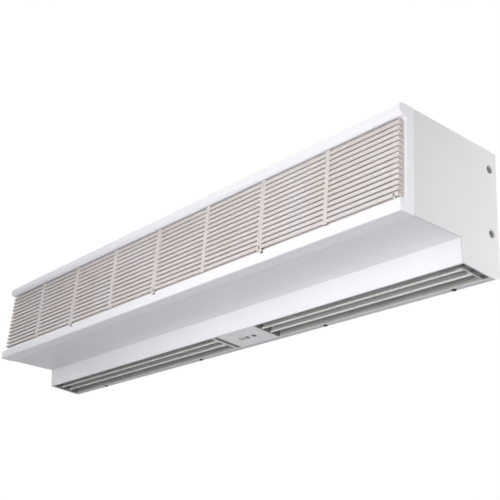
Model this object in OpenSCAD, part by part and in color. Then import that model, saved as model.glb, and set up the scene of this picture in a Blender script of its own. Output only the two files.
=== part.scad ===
// Wall-mounted air curtain: a stepped sheet-steel casing, four tilting intake grilles,
// two cross-flow fans on one motor shaft, and two banks of adjustable outlet louvres.
// Every sub-part is drawn with +X to the right, +Y as depth out from the wall and +Z as
// height above the lowest edge. at_wall() then turns it into the part's own frame, whose
// origin is the centre of the wall plate's rear face, with +Y into the wall and +Z up.

/* [Casing] */
// Overall width across the end covers
unit_w = 1200; // [1100:10:1500]
// Height of the casing above its lowest edge
casing_h = 210; // [206:1:240]
// Depth of the casing from the wall to its front edge
casing_d = 192; // [186:1:230]
// Height of the front part's underside above the lowest edge
step_h = 43; // [38:1:56]
// Depth of the step face at its top
step_d = 90; // [86:1:96]
// How far the step face draws back at its foot
step_draw = 4; // [0:0.5:6]
// Height of the outlet's front lip above the lowest edge
lip_h = 5; // [3:0.5:8]
// Depth of the outlet's rear edge
outlet_d = 22; // [20:0.5:26]
// Thickness of the casing sheets
sheet_t = 1.2; // [0.8:0.1:1.6]
// Height of the turned-up front flanges of the casing sheets
flange_h = 12; // [8:1:16]
// Width of the turned-in edge at the step's foot
lip_w = 3; // [2:0.5:5]
// Thickness of the end covers
cover_t = 2.5; // [2:0.1:4]
// Radius of the end covers' rounded corner at the foot of the back
corner_r = 14; // [10:0.5:16]
// Gap between the end covers' rear edges and the wall
wall_gap = 1; // [0.6:0.1:1.5]
// Height at which the back sheet meets the outlet's rear rim
rim_top = 44; // [38:1:44]

/* [Wall plate] */
// Width of the wall plate
plate_w = 1080; // [1060:10:1080]
// Height of the wall plate
plate_h = 120; // [110:1:126]
// Height of the wall plate's centre above the lowest edge
plate_z = 134; // [130:1:138]
// Thickness of the wall plate
plate_t = 2; // [1.6:0.1:3]
// Distance between the wall screw holes along the width
wall_hole_w = 1000; // [900:10:1030]
// Distance between the wall screw holes along the height
wall_hole_h = 80; // [60:1:90]
// Radius of the wall screw holes
wall_hole_r = 3.5; // [2.5:0.5:5]
// Room that the back sheet leaves round a wall screw's head, beyond the hole
head_room = 5; // [3.5:0.5:6]
// Gap between the wall plate and the back sheet that hangs on it
seat_gap = 0.3; // [0.2:0.1:0.5]
// Width of each hook
hook_w = 50; // [30:5:80]
// Distance between the two hooks
hook_span = 800; // [600:10:860]
// Distance of the hooks' upper face below the top of the wall plate
hook_drop = 14; // [12:1:20]
// Height of the hooks' turned-up ends
hook_rise = 8; // [5:1:10]

/* [Front bezel] */
// How far the bezel stands out from the casing at its top
bezel_out = 29; // [26:0.5:32]
// How far the bezel's front leans back from its top to its foot
bezel_lean = 1.5; // [0:0.5:3]
// Height of the top rail
top_rail_h = 19; // [17:0.5:22]
// Depth and height of the rounding along the top rail's upper front edge
top_crown = [18, 4];
// Depth and height of the slope along the top rail's lower front edge
top_brow = [6.5, 2.6];
// Height of the bottom rail
bottom_rail_h = 20; // [16:0.5:24]
// How far the rails overlap the casing's height at the top and at the underside
rail_lap = 1; // [0:0.5:2]
// Wall of the rails
rail_wall = 2; // [1.5:0.1:2.5]
// Radius of the rails' other front edges
rail_r = 2.6; // [2:0.1:4]
// Width of the end posts
post_w = 6; // [4:0.5:8]
// Width of the end posts' lips behind the slats' turned ends
post_lip = 8; // [6:0.5:8.5]
// Thickness of those lips
post_lip_t = 2; // [1.5:0.1:3]
// Gap between the slats' turned ends and the end posts
post_gap = 0.8; // [0.6:0.1:1.5]

/* [Intake grilles] */
// Number of slats in each grille
slat_count = 14; // [10:1:16]
// Height of a slat's face above its bend
slat_face = 4; // [3:0.1:4.2]
// Angle by which a slat's face leans back from its bend
slat_tilt = 20; // [10:1:25]
// Radius of a slat's bend
slat_r = 2; // [1.6:0.1:2.4]
// Length of a slat's web behind its bend
slat_web = 4.5; // [4:0.1:5]
// Thickness of one slat
slat_t = 1.3; // [1:0.1:1.5]
// Distance of the slats' noses behind the rails' front at the hinge
grille_recess = 2.5; // [2:0.1:3]
// How much deeper the slats lie at the top of a grille than at its foot
grille_lean = 2.2; // [1.5:0.1:3]
// Height of the grille's top and bottom bars
grille_bar = 1.6; // [1.2:0.1:2]
// Distance of those bars' front behind the slats' noses
bar_back = 4; // [3:0.5:5]
// Depth of the grille's bars and ribs behind the slats' noses
rib_depth = 7.5; // [7:0.5:8]
// Thickness of the middle rib
mid_rib = 8.5; // [5:0.5:9]
// Thickness of the side ribs
side_rib = 5; // [4:0.5:6]
// Length of the slats that turn back at the two ends of the unit
slat_return = 8; // [7.5:0.1:8.5]
// Gap between neighbouring grilles
grille_gap = 0.6; // [0.4:0.1:1.2]
// Distance of the grille's pivot behind the slats' noses
pivot_back = 4; // [3.5:0.1:4.5]
// Height of the grille's pivot above the bottom rail
pivot_rise = 5; // [4.8:0.1:6]
// Distance of the grille's lower edge below its pivot
pivot_drop = 2; // [1.8:0.1:2.2]
// Gap between a grille and the top rail
grille_top_gap = 1.8; // [1.2:0.1:2]
// Radius of the hinge pins
hinge_r = 1.5; // [1.2:0.1:1.6]
// Thickness of the hinge lugs
lug_t = 2.4; // [2:0.1:3]
// Distance of the outer hinge lugs from the grille's corner
lug_inset = 8.5; // [8:0.5:12]
// Depth and height of the catch strips that hold the grilles shut
catch_size = [7, 8];
// Gap between the outer catch strips and the end posts' lips
catch_end = 1; // [0.5:0.1:2]

/* [Fans] */
// Radius of the fans
fan_r = 47; // [43:1:48]
// Number of blades on each fan
fan_blades = 24; // [16:1:30]
// Radial width of the fan blades
fan_blade_w = 10; // [8:0.5:12]
// Thickness of the fan blades
fan_blade_t = 0.9; // [0.7:0.1:1.4]
// Angle by which each blade curls forward from root to tip
fan_curl = 14; // [8:1:18]
// Thickness of the fan discs
disc_t = 2.5; // [2:0.5:3]
// Number of blade sections in the left fan
left_sections = 5; // [3:1:6]
// Number of blade sections in the right fan
right_sections = 4; // [3:1:5]
// Gap between a fan's inner end and its duct plate
fan_end_gap = 6; // [5:0.5:8]
// Gap between the fan and the tongue
fan_gap = 6; // [4:0.5:7]
// Radial room between the fan and the widest part of the scroll
scroll_room = 23; // [20:1:25]
// Height of the scroll's centre above the step
scroll_rise = 69; // [66:1:70]
// Offset of the fan's axis from the scroll's centre, outwards and upwards
scroll_shift = [10, 14];
// Angle at which the scroll ends above the fan
scroll_end = 60; // [55:1:75]
// Thickness of the scroll and tongue sheets
duct_t = 1; // [0.8:0.1:1.4]
// Radius of the tongue
tongue_r = 7; // [5:0.5:8]
// Thickness of the duct plates
duct_plate_t = 1.5; // [1.2:0.1:2]
// Room between an outer duct plate and the outside of the unit
duct_end = 12; // [11:0.5:16]
// Radius of the stub shafts at the fans' outer ends
stub_r = 5; // [4:0.5:6]
// Outer radius of the end bearings
bearing_r = 9; // [8:0.5:10]
// Outer radius of the rubbers round the end bearings
bearing_rubber_r = 16; // [14:0.5:18]
// Length of the end bearings
bearing_w = 8; // [6:0.5:8]

/* [Motor] */
// Radius of the motor shaft
shaft_r = 6; // [5:0.5:7]
// Radius of the motor
motor_r = 45; // [38:1:47]
// Length of the motor's can
motor_w = 60; // [50:1:64]
// Wall of the motor's can
can_wall = 1.6; // [1.2:0.1:2.5]
// Thickness of the end bells
bell_t = 5; // [4:0.5:6]
// Radius of the end bells' bosses
boss_r = 14; // [12:0.5:16]
// Length of the end bells' bosses
boss_w = 8; // [7:0.5:9]
// Thickness of the rubber rings round the bosses
ring_t = 5; // [4:0.5:6]
// Length of the laminated stator and of the core inside it
stack_w = 38; // [30:1:44]
// Radius of the core
core_r = 26; // [20:1:28]
// Gap between the core and the stator
air_gap = 0.5; // [0.3:0.1:0.8]
// Radius of the rubber hubs that join the fans to the shaft
hub_r = 16; // [14:0.5:18]
// Length of the hubs
hub_w = 14; // [10:0.5:16]
// Thickness of the cradle's base and of the straps
cradle_t = 2; // [1.6:0.1:2.5]
// Depth of the cradle's base
cradle_d = 58; // [50:1:64]
// Half width of the saddle where the strap meets it
saddle_half = 30; // [29:0.5:34]
// Radius of the capacitor
capacitor_r = 14; // [12:0.5:16]
// Length of the capacitor
capacitor_w = 46; // [36:1:54]
// Height of the capacitor above the lowest edge
capacitor_z = 96; // [90:1:104]

/* [Louvres] */
// Length of a louvre blade below its pivot
blade_drop = 18.5; // [16:0.5:18.5]
// Length of a louvre blade above its pivot
blade_rise = 6; // [4:0.5:8]
// Thickness of a louvre blade
blade_t = 1.6; // [1.2:0.1:2]
// Radius of the bead along a blade's lower edge
bead_r = 2.1; // [1.4:0.1:2.4]
// Height of the pivots above the outlet's plane
louvre_rise = 19; // [19:0.5:20]
// How far the pivots lie behind even thirds of the outlet
louvre_shift = 1.6; // [0:0.1:2]
// Angle of the blades at rest, with their lower edges outwards
louvre_angle = 12; // [8:1:16]
// Radius of the pivot pins
louvre_pin_r = 2; // [1.6:0.1:2.4]
// Radius of the crank pins that the link turns on
crank_pin_r = 1.5; // [1.2:0.1:1.8]
// Distance from the pivots to the crank pins
crank = 14; // [12:0.5:14.5]
// Thickness of the link
link_t = 3; // [2:0.5:4]
// Height of the link
link_h = 6; // [5:0.5:7]
// Gap between the link's rear end and the outlet's rear edge
link_gap = 6; // [5.2:0.1:10]
// Thickness of the louvre brackets
bracket_t = 3; // [2.5:0.5:4]
// Thickness of the brackets' flanges, which close the outlet beside the blades
flange_plate_t = 1.8; // [1.2:0.1:2]
// Gap beside blades and link
side_gap = 0.5; // [0.3:0.1:0.8]
// Radial clearance of the pins in their bores
pin_clear = 0.08; // [0.05:0.01:0.1]

/* [Controls] */
// Distance of the control plate's centre from the unit's centre
control_x = 80.5; // [60:0.5:100]
// Width of the control plate
control_w = 103; // [100:0.5:110]
// Width of the slot at the left of the control plate
slot_w = 15; // [12:0.5:18]
// Thickness of the control plate
control_t = 2; // [1.6:0.1:2.5]
// Clearance round the control plate
control_gap = 0.3; // [0.2:0.1:0.6]
// Radius of the push buttons
button_r = 4; // [3:0.1:4.5]
// Clearance of the push buttons in the plate
button_clear = 0.15; // [0.1:0.05:0.25]
// Travel of the push buttons
button_travel = 1.2; // [0.8:0.1:1.4]
// How far the push buttons stand out of the plate
button_out = 0.8; // [0.4:0.1:1.2]
// Offsets of the window, the speed button and the power button from the plate's centre
mark_xs = [-14, 1, 19];
// Width and depth of the receiver window
window_size = [13, 9];
// Wall of the control box
box_wall = 1.5; // [1.2:0.1:2]
// Height of the control box
box_h = 30; // [28:1:32]
// Height of the circuit board above the plate's outer face
board_z = 10; // [9:0.5:12]
// Thickness of the circuit board
board_t = 1.6; // [1.2:0.1:2]

/* [Fasteners and cable entry] */
// Radius of the end covers' screw heads
cover_head_r = 5.4; // [4.4:0.1:5.8]
// Radius of the dimples round those heads
dimple_r = 7.1; // [6.2:0.1:8]
// Depth of those dimples
dimple_depth = 1.3; // [1:0.1:1.5]
// Depth of the end covers' screws from the wall
cover_screw_d = 18; // [15:0.5:20]
// Heights of the end covers' screws
cover_screw_zs = [71, 178];
// Radius of the rear rim's screw heads
rim_head_r = 4.2; // [3:0.1:4.4]
// Positions of the rear rim's screws along the width
rim_screw_xs = [-465, -105, 250, 528];
// Radius of all screw shanks
shank_r = 2; // [1.5:0.1:2.4]
// Radius of the cable entry's bore
cable_r = 4.5; // [3:0.5:5]
// Height of the cable entry above the lowest edge
cable_z = 60; // [58:0.5:60]

/* [Hidden] */
$fn = 64;
eps = 0.01;

// Casing
inner_half = unit_w / 2 - cover_t;
back_d = plate_t + seat_gap;
foot_d = step_d - step_draw;
throat_d = foot_d - lip_w;
outlet_slope = atan(lip_h / (foot_d - outlet_d));
floor_z = step_h + sheet_t;
roof_z = casing_h - sheet_t;
rear_inner_d = back_d + sheet_t;
rim_r = corner_r - (back_d - wall_gap);

// Height of the outlet's plane at a depth
function plane_z(d) = lip_h * (d - outlet_d) / (foot_d - outlet_d);

// Wall plate
hook_z = plate_z + plate_h / 2 - hook_drop;
hook_t = plate_t;
hook_out = rear_inner_d + 1.5;
hook_room = 8;

// Bezel
bezel_top = casing_h + rail_lap;
bezel_foot = step_h - rail_lap;
bezel_h = bezel_top - bezel_foot;
opening_foot = bezel_foot + bottom_rail_h;
opening_top = bezel_top - top_rail_h;

// Depth of the rails' front at a height
function front_d(z) = casing_d + bezel_out - bezel_lean * (bezel_top - z) / bezel_h;

// Grilles
pivot_z = opening_foot + pivot_rise;
pivot_d = front_d(pivot_z) - grille_recess - pivot_back;
lean_angle = -atan(grille_lean / (opening_top - pivot_z));
post_d = pivot_d + pivot_back + (opening_top - pivot_z) * tan(lean_angle) - slat_return - post_gap;
grille_h = (opening_top - grille_top_gap - pivot_z + pivot_drop) / cos(lean_angle) - 0.2;
slat_pitch = (grille_h - 2 * grille_bar) / slat_count;
grille_half = unit_w / 2 - post_w;
bay = unit_w / 4;
lug_clear = 0.3;
knuckle_r = pivot_rise + 1.5;
pin_half = lug_t / 2 + lug_clear + side_rib - 1;
catch_clear = 0.3;
catch_w = 2 * (grille_half - post_lip - catch_end - 1.5 * bay);
turn_d = post_d + post_gap - pivot_d;

// Fans and ducts
scroll_r = fan_r + scroll_room;
scroll_d = outlet_d + scroll_r;
scroll_z = step_h + scroll_rise;
fan_d = scroll_d + scroll_shift[0];
fan_z = scroll_z + scroll_shift[1];
tongue_d = throat_d + tongue_r;
tongue_z = fan_z - sqrt(pow(fan_r + tongue_r + fan_gap, 2) - pow(fan_d - tongue_d, 2));
tongue_fall = 30;
left_outer = -unit_w / 2 + duct_end;
left_inner = control_x - control_w / 2 - slot_w;
right_inner = control_x + control_w / 2 + duct_plate_t + control_gap;
right_outer = unit_w / 2 - duct_end;
duct_foot = lip_h + 4;
stub_flange_r = 10;
bearing_end = 3.5;
fan_outer_gap = bearing_end + 3.5;

// Motor
motor_x = (left_inner + right_inner) / 2;
bell_bore = shaft_r + pin_clear;
ring_r = boss_r + ring_t;
strap_r = ring_r + cradle_t;
ring_w = boss_w - 1;

// Louvres
louvre_third = (throat_d - outlet_d) / 3;
louvre_ds = [outlet_d + 2 * louvre_third - louvre_shift, outlet_d + louvre_third - louvre_shift];
crank_in = [crank * sin(louvre_angle), -crank * cos(louvre_angle)];
knuckle = 3.2;
knuckle_w = 8;
bracket_foot = 1.5;
bracket_top = 27;

// Position of a louvre pivot as depth and height
function louvre_at(i) = [louvre_ds[i], plane_z(louvre_ds[i]) + louvre_rise];

// Controls
control_depth = throat_d - outlet_d - 2 * control_gap;
control_mid = outlet_d + control_gap + control_depth / 2;
switch_size = [6, 6, 3];
flange_t = 1;
flange_gap = 0.3;

// Turns depth from the wall and height above the lowest edge into the part's own frame
module at_wall() {
    translate([0, 0, -plate_z]) mirror([0, 1, 0]) children();
}

// Runs a flat outline of depth and height along the width from x0 to x1
module along_width(x0, x1) {
    translate([x0, 0, 0]) rotate([90, 0, 90]) linear_extrude(height = x1 - x0) children();
}

// Round bar along the width at a depth and height
module rod(x0, x1, at, r) {
    translate([x0, at[0], at[1]]) rotate([0, 90, 0]) cylinder(r = r, h = x1 - x0);
}

// Tube along the width at a depth and height
module tube(x0, x1, at, outer, inner) {
    difference() {
        rod(x0, x1, at, outer);
        rod(x0 - 1, x1 + 1, at, inner);
    }
}

// Flat ring sector between two radii, from angle a0 to a1, both under 180 degrees apart
module band(outer, inner, a0, a1) {
    reach = outer * 3;
    intersection() {
        difference() {
            circle(outer);
            circle(inner);
        }
        polygon([[0, 0], [reach * cos(a0), reach * sin(a0)],
                 [reach * cos((a0 + a1) / 2), reach * sin((a0 + a1) / 2)],
                 [reach * cos(a1), reach * sin(a1)]]);
    }
}

// Rectangle from one corner to the opposite one
module span(lo, hi) {
    translate(lo) square(hi - lo);
}

// Casing -----------------------------------------------------------------------------

module cover_outline() {
    difference() {
        polygon([[wall_gap, 0], [outlet_d, 0], [foot_d, lip_h], [step_d, step_h],
                 [casing_d, step_h], [casing_d, casing_h], [wall_gap, casing_h]]);
        translate([wall_gap, 0]) difference() {
            translate([-1, -1]) square(corner_r + 1);
            translate([corner_r, corner_r]) circle(corner_r);
        }
    }
}

// Sheet-steel end cover with two dimpled screw holes, on the side given by 1 or -1
module end_cover(side) {
    color("#cfd0cf") difference() {
        along_width(side > 0 ? inner_half : -unit_w / 2, side > 0 ? unit_w / 2 : -inner_half)
            cover_outline();
        for (z = cover_screw_zs) {
            rod(-unit_w, unit_w, [cover_screw_d, z], shank_r + 0.2);
            if (side > 0) rod(unit_w / 2 - dimple_depth, unit_w, [cover_screw_d, z], dimple_r);
            if (side < 0) rod(-unit_w, dimple_depth - unit_w / 2, [cover_screw_d, z], dimple_r);
        }
    }
}

module end_cover_left() {
    at_wall() end_cover(-1);
}

module end_cover_right() {
    at_wall() end_cover(1);
}

// Cross-head screw whose head starts at its own origin and points along +Z
module screw(head_r, head_h, shank_len) {
    slot = [head_r * 1.2, head_r * 0.3];
    difference() {
        union() {
            cylinder(r1 = head_r, r2 = head_r * 0.8, h = head_h);
            translate([0, 0, -shank_len]) cylinder(r = shank_r, h = shank_len + eps);
        }
        for (turn = [0, 90]) rotate([0, 0, turn])
            translate([-slot[0] / 2, -slot[1] / 2, head_h / 2]) cube([slot[0], slot[1], head_h]);
    }
}

module end_cover_screws() {
    head_x = unit_w / 2 - dimple_depth;
    shank = cover_t - dimple_depth + sheet_t + 3;
    at_wall() color("#35352c") for (side = [-1, 1]) for (z = cover_screw_zs)
        translate([side * head_x, cover_screw_d, z]) rotate([0, side * 90, 0])
            screw(cover_head_r, dimple_depth - 0.1, shank);
}

module back_casing() {
    tab_d = cover_screw_d + 8;
    at_wall() color("#e9e9ea") difference() {
        union() {
            along_width(-inner_half, inner_half) union() {
                span([back_d, rim_top], [rear_inner_d, casing_h]);
                span([back_d, roof_z], [casing_d, casing_h]);
                span([casing_d - sheet_t, casing_h - flange_h], [casing_d, casing_h]);
            }
            for (side = [-1, 1]) for (z = cover_screw_zs)
                translate([side * (inner_half - sheet_t / 2), tab_d / 2 + back_d / 2, z])
                    cube([sheet_t, tab_d - back_d, 24], center = true);
        }
        for (z = cover_screw_zs) {
            rod(-unit_w, -inner_half + 2 * sheet_t, [cover_screw_d, z], shank_r + 0.2);
            rod(inner_half - 2 * sheet_t, unit_w, [cover_screw_d, z], shank_r + 0.2);
        }
        for (side = [-1, 1])
            translate([side * hook_span / 2 - hook_w / 2 - 2, 0, hook_z - hook_room])
                cube([hook_w + 4, rear_inner_d + 1, hook_room]);
        for (x = [-1, 1]) for (z = [-1, 1])
            translate([x * wall_hole_w / 2, rear_inner_d + 1, plate_z + z * wall_hole_h / 2])
                rotate([90, 0, 0]) cylinder(r = wall_hole_r + head_room, h = rear_inner_d + 2);
        translate([motor_x, rear_inner_d + 1, cable_z]) rotate([90, 0, 0])
            cylinder(r = cable_r + 4, h = rear_inner_d + 2);
    }
}

module front_casing() {
    at_wall() color("#f4f4f6") along_width(-inner_half, inner_half)
        polygon([[casing_d, step_h], [step_d, step_h], [foot_d, lip_h], [throat_d, lip_h],
                 [throat_d, lip_h + sheet_t], [foot_d - sheet_t, lip_h + sheet_t],
                 [step_d - sheet_t, floor_z], [casing_d - sheet_t, floor_z],
                 [casing_d - sheet_t, step_h + flange_h], [casing_d, step_h + flange_h]]);
}

module outlet_rear_rim() {
    lift = duct_foot + 5;
    screw_d = (back_d + rim_r + outlet_d) / 2 - 1;
    at_wall() color("#d6d6d8") difference() {
        along_width(-inner_half, inner_half) union() {
            span([back_d, rim_r], [rear_inner_d, rim_top]);
            translate([back_d + rim_r, rim_r]) band(rim_r, rim_r - sheet_t, 180, 270);
            span([back_d + rim_r, 0], [outlet_d, sheet_t]);
            span([outlet_d - sheet_t, 0], [outlet_d, lift]);
        }
        for (x = rim_screw_xs) translate([x, screw_d, -1])
            cylinder(r = shank_r + 0.2, h = sheet_t + 2);
    }
}

module rim_screws() {
    screw_d = (back_d + rim_r + outlet_d) / 2 - 1;
    at_wall() color("#1c1c1c") for (x = rim_screw_xs)
        translate([x, screw_d, 0]) rotate([180, 0, 0]) screw(rim_head_r, 1.5, 8);
}

// Wall plate -------------------------------------------------------------------------

module wall_plate() {
    at_wall() color("#b9bcc0") difference() {
        union() {
            translate([-plate_w / 2, 0, plate_z - plate_h / 2]) cube([plate_w, plate_t, plate_h]);
            for (side = [-1, 1])
                along_width(side * hook_span / 2 - hook_w / 2, side * hook_span / 2 + hook_w / 2)
                    union() {
                        span([plate_t - eps, hook_z - hook_t], [hook_out + hook_t, hook_z]);
                        span([hook_out, hook_z - hook_t], [hook_out + hook_t, hook_z + hook_rise]);
                    }
        }
        for (x = [-1, 1]) for (z = [-1, 1])
            translate([x * wall_hole_w / 2, plate_t + 1, plate_z + z * wall_hole_h / 2])
                rotate([90, 0, 0]) cylinder(r = wall_hole_r, h = plate_t + 2);
    }
}

module cable_grommet() {
    neck_r = cable_r + 4;
    flange_r = neck_r + 3;
    outside = 1.7;
    inside = 2;
    at_wall() color("#26262a") translate([motor_x, rear_inner_d + inside, cable_z])
        rotate([90, 0, 0]) difference() {
            union() {
                cylinder(r = flange_r, h = inside);
                cylinder(r = neck_r, h = inside + sheet_t + outside);
                translate([0, 0, inside + sheet_t]) cylinder(r = flange_r, h = outside);
            }
            translate([0, 0, -1]) cylinder(r = cable_r, h = inside + sheet_t + outside + 2);
        }
}

// Front bezel ------------------------------------------------------------------------

// Rail outline between two heights, drawn in by a wall and open to the rear past the casing.
// crown is the depth and height of the rounding along its upper front edge, and brow those of
// the slope along its lower front edge.
module rail_outline(z0, z1, crown, brow, inset, rear) {
    foot_r = max(rail_r - inset, 0.2);
    lo = z0 + brow[1] + inset + foot_r;
    hi = z1 - crown[1];
    turn = [crown[0] - inset, max(crown[1] - inset, 0.2)];
    start = brow[0] > 0 ? atan(brow[1] / brow[0]) - 90 : -90;
    polygon(concat(
        [[rear, z0 + inset]],
        brow[0] > 0 ? [[front_d(z0) - brow[0], z0 + inset]] : [],
        [for (i = [0 : 6]) let(a = start * (1 - i / 6))
            [front_d(lo) - inset - foot_r + foot_r * cos(a), lo + foot_r * sin(a)]],
        [for (a = [0 : 10 : 90])
            [front_d(hi) - crown[0] + turn[0] * cos(a), hi + turn[1] * sin(a)]],
        [[rear, hi + turn[1]]]
    ));
}

module rail(z0, z1, crown, brow) {
    difference() {
        along_width(-unit_w / 2, unit_w / 2) rail_outline(z0, z1, crown, brow, 0, casing_d);
        along_width(rail_wall - unit_w / 2, unit_w / 2 - rail_wall)
            rail_outline(z0, z1, crown, brow, rail_wall, casing_d - 1);
    }
}

module bezel_top_rail() {
    at_wall() color("#fbfbfd") rail(opening_top, bezel_top, top_crown, top_brow);
}

module bezel_bottom_rail() {
    at_wall() color("#fbfbfd") rail(bezel_foot, opening_foot, [rail_r, rail_r], [0, 0]);
}

// End post from x0 to x1 with its lip from lip_x0 to lip_x1
module post(x0, x1, lip_x0, lip_x1) {
    color("#fbfbfd") union() {
        along_width(x0, x1) span([casing_d, opening_foot], [post_d, opening_top]);
        along_width(lip_x0, lip_x1)
            span([post_d - post_lip_t, opening_foot], [post_d, opening_top]);
    }
}

module bezel_post_left() {
    at_wall() post(-unit_w / 2, -grille_half, -grille_half - 1, post_lip - grille_half);
}

module bezel_post_right() {
    at_wall() post(grille_half, unit_w / 2, grille_half - post_lip, grille_half + 1);
}

// Intake grilles ---------------------------------------------------------------------

// Frame of the grilles: origin on the pivot line, leaning with the bezel
module at_grille_pivot() {
    translate([0, pivot_d, pivot_z]) rotate([-lean_angle, 0, 0]) children();
}

// One slat in side view: a face that leans back, a bend at its foot and a web to the rear, with
// its nose at depth 0 and its bend's centre at height 0
module one_slat() {
    function bend(r) = [for (i = [0 : 7]) let(a = slat_tilt - (slat_tilt + 90) * i / 7)
        [r * cos(a) - slat_r, r * sin(a)]];
    lean = slat_face * [-sin(slat_tilt), cos(slat_tilt)];
    outer = bend(slat_r);
    inner = bend(slat_r - slat_t);
    polygon(concat([outer[0] + lean], outer,
                   [[-slat_r - slat_web, -slat_r], [-slat_r - slat_web, slat_t - slat_r]],
                   [for (i = [0 : 7]) inner[7 - i]], [inner[0] + lean]));
}

// Side view of the slats and bars, with the noses at depth pivot_back
module slat_outline() {
    foot = -pivot_drop;
    nose = pivot_back;
    rise = (slat_face * cos(slat_tilt) + slat_r * sin(slat_tilt) - slat_r) / 2;
    span([nose - rib_depth, foot], [nose - bar_back, foot + grille_bar]);
    span([nose - rib_depth, foot + grille_h - grille_bar], [nose - bar_back, foot + grille_h]);
    for (i = [0 : slat_count - 1])
        translate([nose, foot + grille_bar + (i + 0.5) * slat_pitch - rise]) one_slat();
}

// Plan of the straight run between x0 and x1, mitred where an end turns back
module run_plan(x0, x1, turn0, turn1) {
    deep = rib_depth + 1;
    polygon([[x0, pivot_back + 1 - (turn0 ? 1 : 0)], [x1, pivot_back + 1 - (turn1 ? 1 : 0)],
             [x1 - (turn1 ? deep : 0), pivot_back - deep],
             [x0 + (turn0 ? deep : 0), pivot_back - deep]]);
}

// Slats that turn back at x on the side given by 1 or -1, as far as the end post
module slat_corner(x, side) {
    deep = rib_depth + 1;
    reach = slat_return + grille_lean + 2;
    intersection() {
        translate([x, pivot_back, 0]) mirror([side < 0 ? 1 : 0, 0, 0]) translate([-pivot_back, 0, 0])
            rotate([90, 0, 0]) linear_extrude(height = reach) slat_outline();
        translate([x, pivot_back, -grille_h]) mirror([side < 0 ? 1 : 0, 0, 0])
            linear_extrude(height = 3 * grille_h)
                polygon([[0, 0], [1, 0], [1, -reach - 1], [-deep, -reach - 1], [-deep, -deep]]);
        rotate([lean_angle, 0, 0]) translate([-unit_w, turn_d, -grille_h])
            cube([2 * unit_w, 2 * reach, 3 * grille_h]);
    }
}

// Upright rib from x0 to x1, with its front edge a setback behind the noses
module rib(x0, x1, setback) {
    translate([x0, pivot_back - rib_depth, -pivot_drop])
        cube([x1 - x0, rib_depth - setback, grille_h]);
}

// Upright rib that joins the rear ends of the slats that turn back, from x inwards
module corner_rib(x) {
    thick = 1.6;
    wide = rib_depth - 2.6;
    intersection() {
        rotate([lean_angle, 0, 0]) translate([x, turn_d, -grille_h])
            cube([wide, thick, 3 * grille_h]);
        translate([x, -unit_w, -pivot_drop]) cube([wide, 2 * unit_w, grille_h]);
    }
}

// One tilting grille between x0 and x1, whose turned ends are true in turn0 and turn1
module grille(x0, x1, turn0, turn1) {
    lug0 = turn0 ? x0 + lug_inset : x0 - grille_gap / 2;
    lug1 = turn1 ? x1 - lug_inset : x1 + grille_gap / 2;
    rib0 = turn0 ? lug0 + grille_gap / 2 : x0;
    rib1 = turn1 ? lug1 - grille_gap / 2 : x1;
    middle = turn0 ? x1 + grille_gap / 2 - bay / 2 : x0 - grille_gap / 2 + bay / 2;
    color("#dcd6d4") at_grille_pivot() difference() {
        union() {
            intersection() {
                along_width(x0, x1) slat_outline();
                translate([0, 0, -grille_h]) linear_extrude(height = 3 * grille_h)
                    run_plan(x0, x1, turn0, turn1);
            }
            if (turn0) slat_corner(x0, -1);
            if (turn1) slat_corner(x1, 1);
            rib(rib0, rib0 + side_rib, turn0 ? bar_back : 0);
            rib(rib1 - side_rib, rib1, turn1 ? bar_back : 0);
            rib(middle - mid_rib / 2, middle + mid_rib / 2, 0);
            if (turn0) corner_rib(x0 + 1);
            if (turn1) corner_rib(x1 + 1.6 - rib_depth);
        }
        for (x = [lug0, lug1])
            rod(x - lug_t / 2 - lug_clear, x + lug_t / 2 + lug_clear, [0, 0], knuckle_r);
        rod(lug0, rib0 + side_rib + 1, [0, 0], hinge_r + pin_clear);
        rod(rib1 - side_rib - 1, lug1, [0, 0], hinge_r + pin_clear);
    }
}

module intake_grille_1() {
    at_wall() grille(-grille_half, -bay - grille_gap / 2, true, false);
}

module intake_grille_2() {
    at_wall() grille(-bay + grille_gap / 2, -grille_gap / 2, false, false);
}

module intake_grille_3() {
    at_wall() grille(grille_gap / 2, bay - grille_gap / 2, false, false);
}

module intake_grille_4() {
    at_wall() grille(bay + grille_gap / 2, grille_half, false, true);
}

// Centres of the hinge lugs along the width
lug_xs = [lug_inset - grille_half, -bay, 0, bay, grille_half - lug_inset];

module grille_hinge_lugs() {
    half = 2.4;
    at_wall() color("#d4d2d3") for (x = lug_xs) difference() {
        union() {
            rod(x - lug_t / 2, x + lug_t / 2, [pivot_d, pivot_z], half);
            translate([x - lug_t / 2, pivot_d - half, opening_foot])
                cube([lug_t, 2 * half, pivot_rise]);
        }
        rod(x - lug_t, x + lug_t, [pivot_d, pivot_z], hinge_r);
    }
}

module grille_hinge_pins() {
    stub = lug_t / 2;
    at_wall() color("#b8b8ba") for (i = [0 : 4]) {
        x = lug_xs[i];
        rod(x - (i == 0 ? stub : pin_half), x + (i == 4 ? stub : pin_half),
            [pivot_d, pivot_z], hinge_r);
    }
}

module grille_catches() {
    rise = opening_top - pivot_z;
    face = pivot_d + (pivot_back - rib_depth) / cos(lean_angle) + rise * tan(lean_angle)
        - catch_clear;
    at_wall() color("#3a3a3c") for (i = [-1.5 : 1 : 1.5])
        translate([i * bay - catch_w / 2, face - catch_size[0], opening_top - catch_size[1]])
            cube([catch_w, catch_size[0], catch_size[1]]);
}

// Ducts ------------------------------------------------------------------------------

module scroll(x0, x1) {
    lift = duct_foot + 5;
    color("#a9acae") along_width(x0, x1) union() {
        span([outlet_d - duct_t, lift], [outlet_d, scroll_z]);
        translate([scroll_d, scroll_z]) {
            band(scroll_r + duct_t, scroll_r, 120, 180);
            band(scroll_r + duct_t, scroll_r, scroll_end, 120 + eps);
        }
    }
}

module scroll_left() {
    at_wall() scroll(left_outer, left_inner);
}

module scroll_right() {
    at_wall() scroll(right_inner, right_outer);
}

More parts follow.
